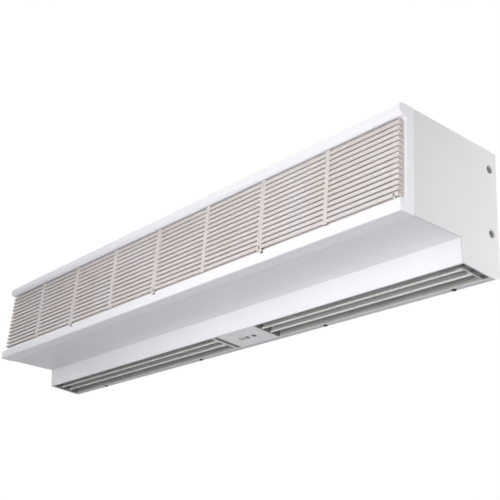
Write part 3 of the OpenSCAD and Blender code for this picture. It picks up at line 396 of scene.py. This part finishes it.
# Pale grey, dull and finely dimpled sheet, laid as strips on the outlet's rear wall to paint the
# shade inside it.
PAINTED_SHADE_SHEET = Finish(
    "grey_sheet_painted_shade", "#BDBFB9", "#B3B5AF", 0.8, 0.08, ior=1.5, mottle_mm=35,
    grain_mm=1.4, grain_depth_mm=0.06, edge_mm=0.6,
)
# Control plate: near-white ABS that a light spark-eroded texture dulls to a pale grey.
SPARKED_ABS = Finish(
    "textured_abs_pale_grey", "#FFFFFF", "#F4F4F6", 0.4, 0.05, ior=1.54, mottle_mm=14, grain_mm=0.7,
    grain_depth_mm=0.03, edge_mm=0.4, coat=0.35,
)
# Push buttons: black ABS, polished by fingers.
BUTTON_ABS = Finish(
    "polished_abs_black", "#26262A", "#1E1E22", 0.32, 0.05, ior=1.54, mottle_mm=4, grain_mm=0.4,
    grain_depth_mm=0.003, edge_mm=0.5,
)
# Frame of the receiver window: olive-grey ABS, which edges the pale lens.
OLIVE_ABS = Finish(
    "moulded_abs_olive_grey", "#8C8874", "#7F7B68", 0.42, 0.05, ior=1.54, mottle_mm=6, grain_mm=0.5,
    grain_depth_mm=0.006, edge_mm=0.3,
)
# Receiver lens: milky acrylic, smooth and glossy, that hides the sensor behind it.
MILKY_ACRYLIC = Finish(
    "moulded_acrylic_milky", "#E4DFCD", "#DAD4BF", 0.15, 0.04, ior=1.49, mottle_mm=5,
    grain_mm=0.8, grain_depth_mm=0.002, edge_mm=0.3, coat=0.3,
)


# ------------------------------------------------------------------------------ mesh makers


def turn_section(shape: bmesh.types.BMesh, section: list[tuple[float, float]], sides: int) -> None:
    """Turns a closed section of radius and height once round the Z axis.

    Args:
        shape: Mesh that gets the ring.
        section: Radius and height of each corner, in order.
        sides: Number of steps round the axis.
    """
    rings = []
    for step in range(sides):
        angle = 2 * math.pi * step / sides
        rings.append(
            [shape.verts.new((r * math.cos(angle), r * math.sin(angle), z)) for r, z in section]
        )
    count = len(section)
    for step, ring in enumerate(rings):
        after = rings[(step + 1) % sides]
        for i in range(count):
            j = (i + 1) % count
            shape.faces.new((ring[i], after[i], after[j], ring[j]))


def arch(inner: float, outer: float, rise: float) -> list[tuple[float, float]]:
    """Gives the rounded top of a ring's section, from its outer to its inner radius.

    Args:
        inner: Inner radius.
        outer: Outer radius.
        rise: Height of the ring.

    Returns:
        Radius and height of each corner.
    """
    middle, half = (inner + outer) / 2, (outer - inner) / 2
    angles = [math.pi * (step + 0.5) / ARCH_STEPS for step in range(ARCH_STEPS)]
    return [(middle + half * math.cos(a), rise * math.sin(a)) for a in angles]


def run_section(
    shape: bmesh.types.BMesh, section: list[tuple[float, float]], start: float, end: float
) -> None:
    """Runs a closed section of X and Z along Y and closes both ends.

    Args:
        shape: Mesh that gets the strip.
        section: X and Z of each corner, in order.
        start: Y of the first end.
        end: Y of the other end.
    """
    near = [shape.verts.new((x, start, z)) for x, z in section]
    far = [shape.verts.new((x, end, z)) for x, z in section]
    count = len(section)
    for i in range(count):
        j = (i + 1) % count
        shape.faces.new((near[i], near[j], far[j], far[i]))
    shape.faces.new(near)
    shape.faces.new(list(reversed(far)))


def pillow(
    shape: bmesh.types.BMesh, half: tuple[float, float], edge: float, crown: float, sides: int
) -> None:
    """Makes a low dome over a rectangle with rounded corners.

    Args:
        shape: Mesh that gets the dome.
        half: Half of its length along X and Y.
        edge: Height of its upright edge.
        crown: Height of the dome above that edge.
        sides: Number of steps round the outline.
    """

    def corner(angle: float, size: float) -> tuple[float, float]:
        """Gives the X and Y of the rounded outline at an angle, shrunk to a size of 1 or less."""
        x, y = math.cos(angle), math.sin(angle)
        return (
            half[0] * size * math.copysign(abs(x) ** DOME_SQUARENESS, x),
            half[1] * size * math.copysign(abs(y) ** DOME_SQUARENESS, y),
        )

    levels = [(1.0, -edge), *((size, crown * (1 - size**DOME_FALL)) for size in DOME_SIZES)]
    angles = [2 * math.pi * (step + 0.5) / sides for step in range(sides)]
    rings = [[shape.verts.new((*corner(a, size), z)) for a in angles] for size, z in levels]
    for lower, upper in zip(rings, rings[1:]):
        for i in range(sides):
            j = (i + 1) % sides
            shape.faces.new((lower[i], lower[j], upper[j], upper[i]))
    shape.faces.new(rings[-1])
    shape.faces.new(list(reversed(rings[0])))


def settle(
    name: str,
    shape: bmesh.types.BMesh,
    place: Matrix,
    finish: Finish,
    broken_mm: float = 0.0,
) -> None:
    """Turns a mesh drawn in millimetres into a piece that rides on the casing.

    Args:
        name: Name of the piece.
        shape: Mesh in millimetres, which is freed.
        place: Frame that the mesh was drawn in, in metres.
        finish: Finish of the piece.
        broken_mm: Width that its sharp edges are rounded over, or 0.
    """
    bmesh.ops.recalc_face_normals(shape, faces=shape.faces)
    bmesh.ops.transform(shape, matrix=place @ Matrix.Scale(MM, 4), verts=shape.verts)
    mesh = bpy.data.meshes.new(name)
    shape.to_mesh(mesh)
    shape.free()
    mesh.shade_smooth()
    mesh.set_sharp_from_angle(angle=math.radians(SHARP_DEG))
    mesh.materials.append(finish.material())
    piece = bpy.data.objects.new(name, mesh)
    bpy.context.scene.collection.objects.link(piece)
    if broken_mm:
        edge = piece.modifiers.new("broken_edges", "BEVEL")
        edge.width = broken_mm * MM
        edge.segments = 2
        edge.limit_method = "ANGLE"
    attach(piece, "casing")
    LOG.info("own piece: %s has %s", name, finish.name)


@dataclass(frozen=True)
class OutletPlane:
    """Slanting plane of the outlet, in which the control plate and the louvres' ends lie.

    Attributes:
        centre_mm: Middle of the control plate's outer face.
        slope_deg: How far the plane rises towards the room.
    """

    centre_mm: tuple[float, float, float] = (80.5, -52.5, -131.617)
    slope_deg: float = 4.467

    def frame(self, x: float = 0.0, z: float = 0.0) -> Matrix:
        """Gives a frame in the plane, with X along the unit and Z out of it.

        Args:
            x: Offset along the unit from the control plate's middle, in millimetres.
            z: Offset out of the plane, in millimetres.

        Returns:
            Matrix in metres.
        """
        slope = math.radians(self.slope_deg)
        along = Vector((1, 0, 0))
        out = Vector((0, -math.sin(slope), -math.cos(slope)))
        across = out.cross(along)
        turn = Matrix((along, across, out)).transposed().to_4x4()
        spot = (Vector(self.centre_mm) + along * x + out * z) * MM
        return Matrix.Translation(spot) @ turn


# ------------------------------------------------------------------------------ sub-assemblies


@dataclass
class Assembly:
    """Group of pieces that are dressed together.

    Attributes:
        name: What a person would call the group.
        dress: Finish of each construction node in it.
    """

    name: str = "assembly"
    dress: dict[str, Finish] = field(default_factory=dict)

    def paint(self) -> None:
        """Gives every construction node of the group its finish."""
        for node, finish in self.dress.items():
            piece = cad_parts[node]
            for holder in piece.material_slots:
                holder.material = finish.material()
            LOG.info("%s: %s has %s", self.name, node, finish.name)

    def build(self) -> None:
        """Makes the group's own pieces; a group with none only gets its finishes."""
        self.paint()


@dataclass
class Casing(Assembly):
    """Sheet-steel casing with its end covers, rims, screws and wall plate.

    Attributes:
        dimple_x: Distance of the dimples' floors from the unit's middle.
        screw_y: Place of the end covers' screws from the wall.
        screw_zs: Heights of those screws.
        washer: Inner and outer radius of the cup washer round a screw's head.
        washer_rise: Height of that washer above the dimple's floor.
    """

    name: str = "casing"
    dimple_x: float = 598.7
    screw_y: float = -18.0
    screw_zs: tuple[float, float] = (-63.0, 44.0)
    washer: tuple[float, float] = (5.5, 6.95)
    washer_rise: float = 1.15
    dress: dict[str, Finish] = field(
        default_factory=lambda: {
            "wall_plate": ZINC_SHEET,
            "back_casing": WHITE_POWDER,
            "front_casing": WHITE_POWDER,
            # The end covers and rear rim take the grey copy of the white powder: painted shade.
            "end_cover_left": PAINTED_SHADE_POWDER,
            "end_cover_right": PAINTED_SHADE_POWDER,
            "outlet_rear_rim": PAINTED_SHADE_POWDER,
            "end_cover_screws": OLIVE_SCREW,
            "rim_screws": BLACK_SCREW,
            "cable_grommet": BLACK_RUBBER,
        }
    )

    def build(self) -> None:
        """Dresses the group and adds the cup washers in the end covers' dimples."""
        self.paint()
        inner, outer = self.washer
        for side, end in ((-1, "left"), (1, "right")):
            for z, level in zip(self.screw_zs, ("lower", "upper")):
                shape = bmesh.new()
                feet = [(inner, RING_CLEAR), (outer, RING_CLEAR)]
                section = [*arch(inner, outer, self.washer_rise), *feet]
                turn_section(shape, section, Sides.WASHER)
                spot = Vector((side * self.dimple_x, self.screw_y, z)) * MM
                place = Matrix.Translation(spot) @ Matrix.Rotation(side * math.pi / 2, 4, "Y")
                name = f"cup_washer_{end}_{level}"
                settle(name, shape, place, NATURAL_NYLON)


@dataclass
class Bezel(Assembly):
    """Deep front bezel with its rails, posts and the grilles' hinges and catches.

    Attributes:
        tab_x: Where the tabs sit along the unit, just right of where two grilles meet.
        tab_spot: Place from the wall and height of the tabs below those joints.
        tab_half: Half of a tab's width and height.
        tab_crown: How far a tab stands out.
        shade_patch_shift: Offset of the black patch beside a tab, which paints the shade of a slot,
            along the unit and upwards.
        shade_patch_half: Half of that patch's width and height.
        shade_patch_crown: How far that patch of painted shade stands out.
    """

    name: str = "bezel"
    tab_x: tuple[float, float, float] = (-294.5, 5.5, 305.5)
    tab_spot: tuple[float, float] = (-219.6, -72.9)
    tab_half: tuple[float, float] = (5.4, 2.8)
    tab_crown: float = 0.7
    shade_patch_shift: tuple[float, float] = (5.2, -3.0)
    shade_patch_half: tuple[float, float] = (4.2, 2.0)
    shade_patch_crown: float = 0.15
    dress: dict[str, Finish] = field(
        default_factory=lambda: {
            "bezel_top_rail": WHITE_ABS,
            "bezel_bottom_rail": WHITE_ABS,
            "bezel_post_left": WHITE_ABS,
            "bezel_post_right": WHITE_ABS,
            "grille_hinge_lugs": NATURAL_NYLON,
            "grille_hinge_pins": BRIGHT_STEEL,
            "grille_catches": BLACK_NYLON,
        }
    )

    def rail_front(self, x: float, rise: float = 0.0) -> Matrix:
        """Gives a frame on the bottom rail's front, with Y upwards and Z out of it.

        Args:
            x: Place along the unit, in millimetres.
            rise: Offset upwards from the tabs' height, in millimetres.

        Returns:
            Matrix in metres.
        """
        y, z = self.tab_spot
        turn = Matrix(((1, 0, 0), (0, 0, -1), (0, 1, 0))).to_4x4()
        return Matrix.Translation(Vector((x, y, z + rise)) * MM) @ turn

    def build(self) -> None:
        """Dresses the group and adds a tab, and beside it a black patch of painted shade for a
        slot, where neighbouring grilles meet.
        """
        self.paint()
        shift, drop = self.shade_patch_shift
        for x, joint in zip(self.tab_x, ("left", "middle", "right")):
            shape = bmesh.new()
            pillow(shape, self.tab_half, DOME_SEAT, self.tab_crown, Sides.TAB)
            settle(f"rail_tab_{joint}", shape, self.rail_front(x), WARM_ABS)
            # A thin black dome on the rail's front stands in for a slot: painted shade.
            shape = bmesh.new()
            pillow(shape, self.shade_patch_half, DOME_SEAT, self.shade_patch_crown, Sides.SHADE_PATCH)
            place = self.rail_front(x + shift, drop)
            settle(f"painted_slot_shade_{joint}", shape, place, BLACK_NYLON)


@dataclass
class Grilles(Assembly):
    """Four slatted intake grilles."""

    name: str = "grilles"
    dress: dict[str, Finish] = field(
        default_factory=lambda: {f"intake_grille_{i}": WARM_ABS for i in (1, 2, 3, 4)}
    )


@dataclass
class Ducts(Assembly):
    """Scrolls, tongues and duct plates round the fans."""

    name: str = "ducts"
    dress: dict[str, Finish] = field(
        default_factory=lambda: {
            node: ZINC_SHEET
            for node in (
                "scroll_left", "scroll_right", "tongue_left", "tongue_right",
                "duct_plate_left_outer", "duct_plate_left_inner", "duct_plate_right_inner",
                "duct_plate_right_outer",
            )
        }
    )


@dataclass
class Louvres(Assembly):
    """Two banks of outlet louvres with their links and brackets.

    Attributes:
        strip_x: Where the pale strip beside the slot starts and ends, from the plate's middle.
        strip_y: Where that strip starts and ends along the slanting outlet.
        strip_t: Thickness of that strip.
        strip_bead: Radius of the bead along its edge at the slot.
        strip_foot: Offset of its foot out of the outlet's plane.
        strip_broken: Width that its sharp edges are rounded over.
        shade_strip_spans: Where the grey strips of painted shade on the outlet's rear wall start
            and end along X.
        shade_strip_y: Distances of those strips' faces from the wall.
        shade_strip_z: Heights of those strips' lower and upper edges.
        shade_strip_round: Depth and height of the slope along their front edges.
        shade_strip_broken: Width that their sharp edges are rounded over.
        rivet_x: Where the brackets' snap rivets sit along the unit, from the plate's middle.
        rivet_y: Where they sit along the slanting outlet.
        rivet_half: Half of a rivet head's length and width.
        rivet_crown: How far a rivet head stands out.
        rivet_seat: Offset of the heads' seat out of the outlet's plane.
    """

    name: str = "louvres"
    strip_x: tuple[float, float] = (-69.3, -65.2)
    strip_y: tuple[float, float] = (-29.9, 29.9)
    strip_t: float = 0.9
    strip_bead: float = 0.7
    strip_foot: float = -1.495
    strip_broken: float = 0.12
    shade_strip_spans: tuple[tuple[float, float], ...] = ((-584.8, 7.0), (137.0, 581.0))
    shade_strip_y: tuple[float, float] = (22.02, 23.2)
    shade_strip_z: tuple[float, float] = (-132.4, -101.0)
    shade_strip_round: tuple[float, float] = (0.6, 0.8)
    shade_strip_broken: float = 0.2
    rivet_x: tuple[float, float] = (-671.6, 510.6)
    rivet_y: tuple[float, float, float] = (-21.5, 2.5, 24.5)
    rivet_half: tuple[float, float] = (3.6, 4.4)
    rivet_crown: float = 0.7
    rivet_seat: float = -1.42
    dress: dict[str, Finish] = field(
        default_factory=lambda: {
            "louvre_left_front": LOUVRE_ALUMINIUM,
            "louvre_left_rear": LOUVRE_ALUMINIUM,
            "louvre_right_front": LOUVRE_ALUMINIUM,
            "louvre_right_rear": LOUVRE_ALUMINIUM,
            "louvre_left_link": WHITE_ABS,
            "louvre_right_link": WHITE_ABS,
            "louvre_brackets_left": GREY_NYLON,
            "louvre_brackets_right": GREY_NYLON,
        }
    )

    def build(self) -> None:
        """Dresses the group and adds its edge strip, the grey strips of painted shade on the
        outlet's rear wall, and snap rivets.
        """
        self.paint()
        self.edge_slot()
        self.paint_throat_shade()
        self.rivet_brackets()

    def edge_slot(self) -> None:
        """Makes the pale strip that edges the slot beside the control plate."""
        x0, x1 = self.strip_x
        foot = self.strip_foot
        bead = [
            (
                x1 - self.strip_bead + self.strip_bead * math.sin(angle),
                foot + self.strip_bead - self.strip_bead * math.cos(angle),
            )
            for angle in (math.pi * step / BEAD_STEPS for step in range(BEAD_STEPS + 1))
        ]
        shape = bmesh.new()
        section = [(x0, foot), *bead, (x1 - 2 * self.strip_bead, foot + self.strip_t)]
        run_section(shape, [*section, (x0, foot + self.strip_t)], *self.strip_y)
        place = OutletPlane().frame()
        settle("slot_strip", shape, place, WHITE_ABS, self.strip_broken)

    def paint_throat_shade(self) -> None:
        """Makes the grey strips on the outlet's rear wall, which paint the shade inside the throat.
        """
        (back, front), (low, high) = self.shade_strip_y, self.shade_strip_z
        in_by, up_by = self.shade_strip_round
        skin = [(back, low), (front - in_by, low), (front, low + up_by), (front, high - up_by)]
        across = Matrix(((0, 1, 0, 0), (-1, 0, 0, 0), (0, 0, 1, 0), (0, 0, 0, 1)))
        for (start, end), bank in zip(self.shade_strip_spans, ("left", "right")):
            shape = bmesh.new()
            run_section(shape, [*skin, (front - in_by, high), (back, high)], start, end)
            name = f"outlet_shade_strip_{bank}"
            # Grey strips on the outlet's rear wall: painted shade.
            settle(name, shape, across, PAINTED_SHADE_SHEET, self.shade_strip_broken)

    def rivet_brackets(self) -> None:
        """Makes the snap rivets that hold the outer brackets' flanges."""
        for x, end in zip(self.rivet_x, ("left", "right")):
            for y, spot in zip(self.rivet_y, ("rear", "middle", "front")):
                shape = bmesh.new()
                pillow(shape, self.rivet_half, DOME_SEAT, self.rivet_crown, Sides.RIVET)
                seat = OutletPlane().frame(x, self.rivet_seat)
                place = seat @ Matrix.Translation((0, y * MM, 0))
                settle(f"snap_rivet_{end}_{spot}", shape, place, BLACK_NYLON)


@dataclass
class Drive(Assembly):
    """Cross-flow fans, their bearings and the motor between them."""

    name: str = "drive"
    dress: dict[str, Finish] = field(
        default_factory=lambda: {
            "fan_left": FAN_ALUMINIUM,
            "fan_right": FAN_ALUMINIUM,
            "fan_end_shafts": BRIGHT_STEEL,
            "fan_hubs": BLACK_RUBBER,
            "end_bearings": SINTERED_BRONZE,
            "bearing_rubbers": BLACK_RUBBER,
            "motor_shaft": BRIGHT_STEEL,
            "motor_core": LAMINATED_STEEL,
            "motor_stator": LAMINATED_STEEL,
            "motor_can": MOTOR_ENAMEL,
            "motor_end_bells": MOTOR_ENAMEL,
            "motor_rubber_rings": BLACK_RUBBER,
            "motor_cradle": ZINC_SHEET,
            "motor_straps": ZINC_SHEET,
            "capacitor": DRAWN_CAN,
            "capacitor_clip": ZINC_SHEET,
        }
    )


@dataclass
class Controls(Assembly):
    """Control plate between the louvre banks, with its buttons, window and board.

    Attributes:
        button_x: Offsets of the speed and power buttons along the plate.
        collar: Inner and outer radius of the raised collar round a button.
        collar_rise: Height of that collar.
        window_x: Offset of the receiver window along the plate.
        lens_half: Half of the lens's length and width.
        lens_crown: Height of the lens's dome.
        lens_edge: Height of the lens's upright edge.
        lens_seat: Offset of the lens out of the outlet's plane.
    """

    name: str = "controls"
    button_x: tuple[float, float] = (1.0, 19.0)
    collar: tuple[float, float] = (4.5, 6.3)
    collar_rise: float = 0.45
    window_x: float = -14.0
    lens_half: tuple[float, float] = (5.3, 3.3)
    lens_crown: float = 0.3
    lens_edge: float = 0.2
    lens_seat: float = 0.05
    dress: dict[str, Finish] = field(
        default_factory=lambda: {
            "control_plate": SPARKED_ABS,
            "speed_button": BUTTON_ABS,
            "power_button": BUTTON_ABS,
            "receiver_window": OLIVE_ABS,
            "control_box": BLACK_NYLON,
            "circuit_board": SOLDER_MASK,
            "terminal_block": CREAM_MELAMINE,
        }
    )

    def build(self) -> None:
        """Dresses the group and adds the buttons' collars and the window's lens."""
        self.paint()
        inner, outer = self.collar
        for x, button in zip(self.button_x, ("speed", "power")):
            shape = bmesh.new()
            top = arch(inner, outer, self.collar_rise)
            turn_section(shape, [(outer, RING_CLEAR), *top, (inner, RING_CLEAR)], Sides.COLLAR)
            place = OutletPlane().frame(x)
            settle(f"{button}_button_collar", shape, place, WHITE_ABS)
        shape = bmesh.new()
        pillow(shape, self.lens_half, self.lens_edge, self.lens_crown, Sides.LENS)
        place = OutletPlane().frame(self.window_x, self.lens_seat)
        settle("receiver_lens", shape, place, MILKY_ACRYLIC)


# ------------------------------------------------------------------------------ studio


@dataclass(frozen=True)
class Lamp:
    """One soft studio lamp.

    Attributes:
        name: What the lamp is for.
        place: Position in metres.
        aim: Point that it faces, in metres.
        size: Width and height of its panel in metres.
        power: Power in watts.
        colour: sRGB colour.
    """

    name: str
    place: tuple[float, float, float]
    aim: tuple[float, float, float]
    size: tuple[float, float]
    power: float
    colour: str

    def hang(self) -> None:
        """Puts the lamp in the scene."""
        data = bpy.data.lights.new(self.name, "AREA")
        data.shape = "RECTANGLE"
        data.size, data.size_y = self.size
        data.energy = self.power
        data.color = linear(self.colour)[:3]
        lamp = bpy.data.objects.new(self.name, data)
        lamp.location = self.place
        away = Vector(self.aim) - Vector(self.place)
        lamp.rotation_euler = away.to_track_quat("-Z", "Y").to_euler()
        lamp.visible_camera = False
        bpy.context.scene.collection.objects.link(lamp)


@dataclass
class Studio:
    """Floor, light and camera.

    Attributes:
        floor_z: Height of the floor, far enough below the unit to look up at it.
        floor_half: Half of the floor's side.
        floor_colour: Colour of the floor where it catches the object's shadow.
        floor_roughness: Roughness of that floor.
        glow_colour: Colour that the floor adds for the eye and in reflections.
        glow: Strength of that addition, where 1 is white.
        air_colour: Colour of the world's light on the object.
        air_light: Strength of that light.
        eye: Place of the camera.
        right: The camera's right-hand direction.
        ahead: The camera's viewing direction.
        lens: Focal length in millimetres.
        sensor: Width of the camera's sensor in millimetres.
        lamps: The studio lamps.
    """

    floor_z: float = -3.4
    floor_half: float = 9.0
    floor_colour: str = "#C4C4C4"
    floor_roughness: float = 0.3
    glow_colour: str = "#F6F6F6"
    glow: float = 0.86
    air_colour: str = "#F3F4FA"
    air_light: float = 0.12
    eye: tuple[float, float, float] = (1.363851, -1.08262, -0.625405)
    right: tuple[float, float, float] = (0.641329, 0.764841, 0.060954)
    ahead: tuple[float, float, float] = (-0.724655, 0.577691, 0.375696)
    lens: float = 66.94
    sensor: float = 36.0
    lamps: tuple[Lamp, ...] = (
        Lamp("key_lamp", (0.42, -1.2, -0.2), (0.22, -0.15, -0.08), (1.0, 0.6), 9.2, "#FFFDFB"),
        Lamp("foot_lamp", (0.22, -1.0, -1.05), (0.1, -0.12, 0.0), (0.9, 0.6), 4.0, "#F3F3FF"),
        Lamp("side_lamp", (1.8, -0.2, -0.6), (0.6, -0.1, -0.05), (0.9, 0.9), 10.3, "#FFFDFB"),
        Lamp("top_lamp", (0.0, -0.6, 2.0), (0.0, -0.1, 0.0), (1.8, 1.2), 25.0, "#FCFCFF"),
        Lamp("left_lamp", (-2.2, 0.1, 0.4), (-0.6, 0.0, 0.0), (1.2, 1.2), 24.0, "#FCFCFF"),
        Lamp("back_lamp", (0.8, 2.2, 0.9), (0.0, 0.0, 0.0), (1.8, 1.2), 70.0, "#FCFCFF"),
    )

    def lay_floor(self) -> None:
        """Makes the plain pale floor."""
        mesh = bpy.data.meshes.new("floor")
        shape = bmesh.new()
        bmesh.ops.create_grid(shape, x_segments=1, y_segments=1, size=self.floor_half)
        bmesh.ops.translate(shape, verts=shape.verts, vec=(0, 0, self.floor_z))
        shape.to_mesh(mesh)
        shape.free()
        floor = bpy.data.objects.new("floor", mesh)
        bpy.context.scene.collection.objects.link(floor)
        painted = bpy.data.materials.new("painted_floor_pale")
        painted.use_nodes = True
        tree = painted.node_tree
        tree.nodes.clear()
        paint = {"Color": linear(self.floor_colour), "Roughness": self.floor_roughness}
        matt = add(tree, "ShaderNodeBsdfDiffuse", paint)
        light = {"Color": linear(self.glow_colour), "Strength": self.glow}
        pale = add(tree, "ShaderNodeEmission", light)
        both = add(tree, "ShaderNodeAddShader", None, {0: matt.outputs[0], 1: pale.outputs[0]})
        mixed = add(
            tree,
            "ShaderNodeMixShader",
            None,
            {0: self.seen(tree), 1: matt.outputs[0], 2: both.outputs[0]},
        )
        add(tree, "ShaderNodeOutputMaterial", None, {"Surface": mixed.outputs[0]})
        mesh.materials.append(painted)
        LOG.info("studio: floor at %.2f m", self.floor_z)

    @staticmethod
    def seen(tree: bpy.types.NodeTree) -> bpy.types.NodeSocket:
        """Builds a factor of 1 where the eye, a reflection or a view through glass looks.

        Args:
            tree: Node tree of the material or world.

        Returns:
            The factor, which is 0 for light that only falls on the object.
        """
        path = add(tree, "ShaderNodeLightPath")
        direct = add(
            tree,
            "ShaderNodeMath",
            None,
            {0: path.outputs["Is Camera Ray"], 1: path.outputs["Is Glossy Ray"]},
            operation="MAXIMUM",
        )
        through = add(
            tree,
            "ShaderNodeMath",
            None,
            {0: direct.outputs[0], 1: path.outputs["Is Transmission Ray"]},
            operation="MAXIMUM",
        )
        return through.outputs[0]

    def light_world(self) -> None:
        """Makes the world: white to the eye and in reflections, softer as light."""
        world = bpy.data.worlds.new("studio_air")
        bpy.context.scene.world = world
        world.use_nodes = True
        tree = world.node_tree
        tree.nodes.clear()
        light = {"Color": linear(self.air_colour), "Strength": self.air_light}
        soft = add(tree, "ShaderNodeBackground", light)
        white = add(tree, "ShaderNodeBackground", {"Color": (1, 1, 1, 1), "Strength": 1.0})
        mixed = add(
            tree,
            "ShaderNodeMixShader",
            None,
            {0: self.seen(tree), 1: soft.outputs[0], 2: white.outputs[0]},
        )
        add(tree, "ShaderNodeOutputWorld", None, {"Surface": mixed.outputs[0]})

    def stand_camera(self) -> None:
        """Stands the camera where the photograph was taken from."""
        data = bpy.data.cameras.new("camera")
        data.sensor_width = self.sensor
        data.lens = self.lens
        camera = bpy.data.objects.new("camera", data)
        side = Vector(self.right).normalized()
        back = -Vector(self.ahead).normalized()
        top = back.cross(side).normalized()
        side = top.cross(back)
        turn = Matrix((side, top, back)).transposed().to_4x4()
        camera.matrix_world = Matrix.Translation(self.eye) @ turn
        bpy.context.scene.collection.objects.link(camera)
        bpy.context.scene.camera = camera

    def build(self) -> None:
        """Makes the whole studio."""
        bpy.context.scene.view_settings.view_transform = "Standard"
        self.stand_camera()
        self.lay_floor()
        self.light_world()
        for lamp in self.lamps:
            lamp.hang()


def main() -> None:
    """Builds the studio and dresses every sub-assembly in order."""
    logging.basicConfig(level=logging.INFO, format="%(name)s: %(message)s")
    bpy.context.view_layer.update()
    Studio().build()
    for part in (Casing(), Bezel(), Grilles(), Ducts(), Louvres(), Drive(), Controls()):
        part.build()


if __name__ == "__main__":
    main()
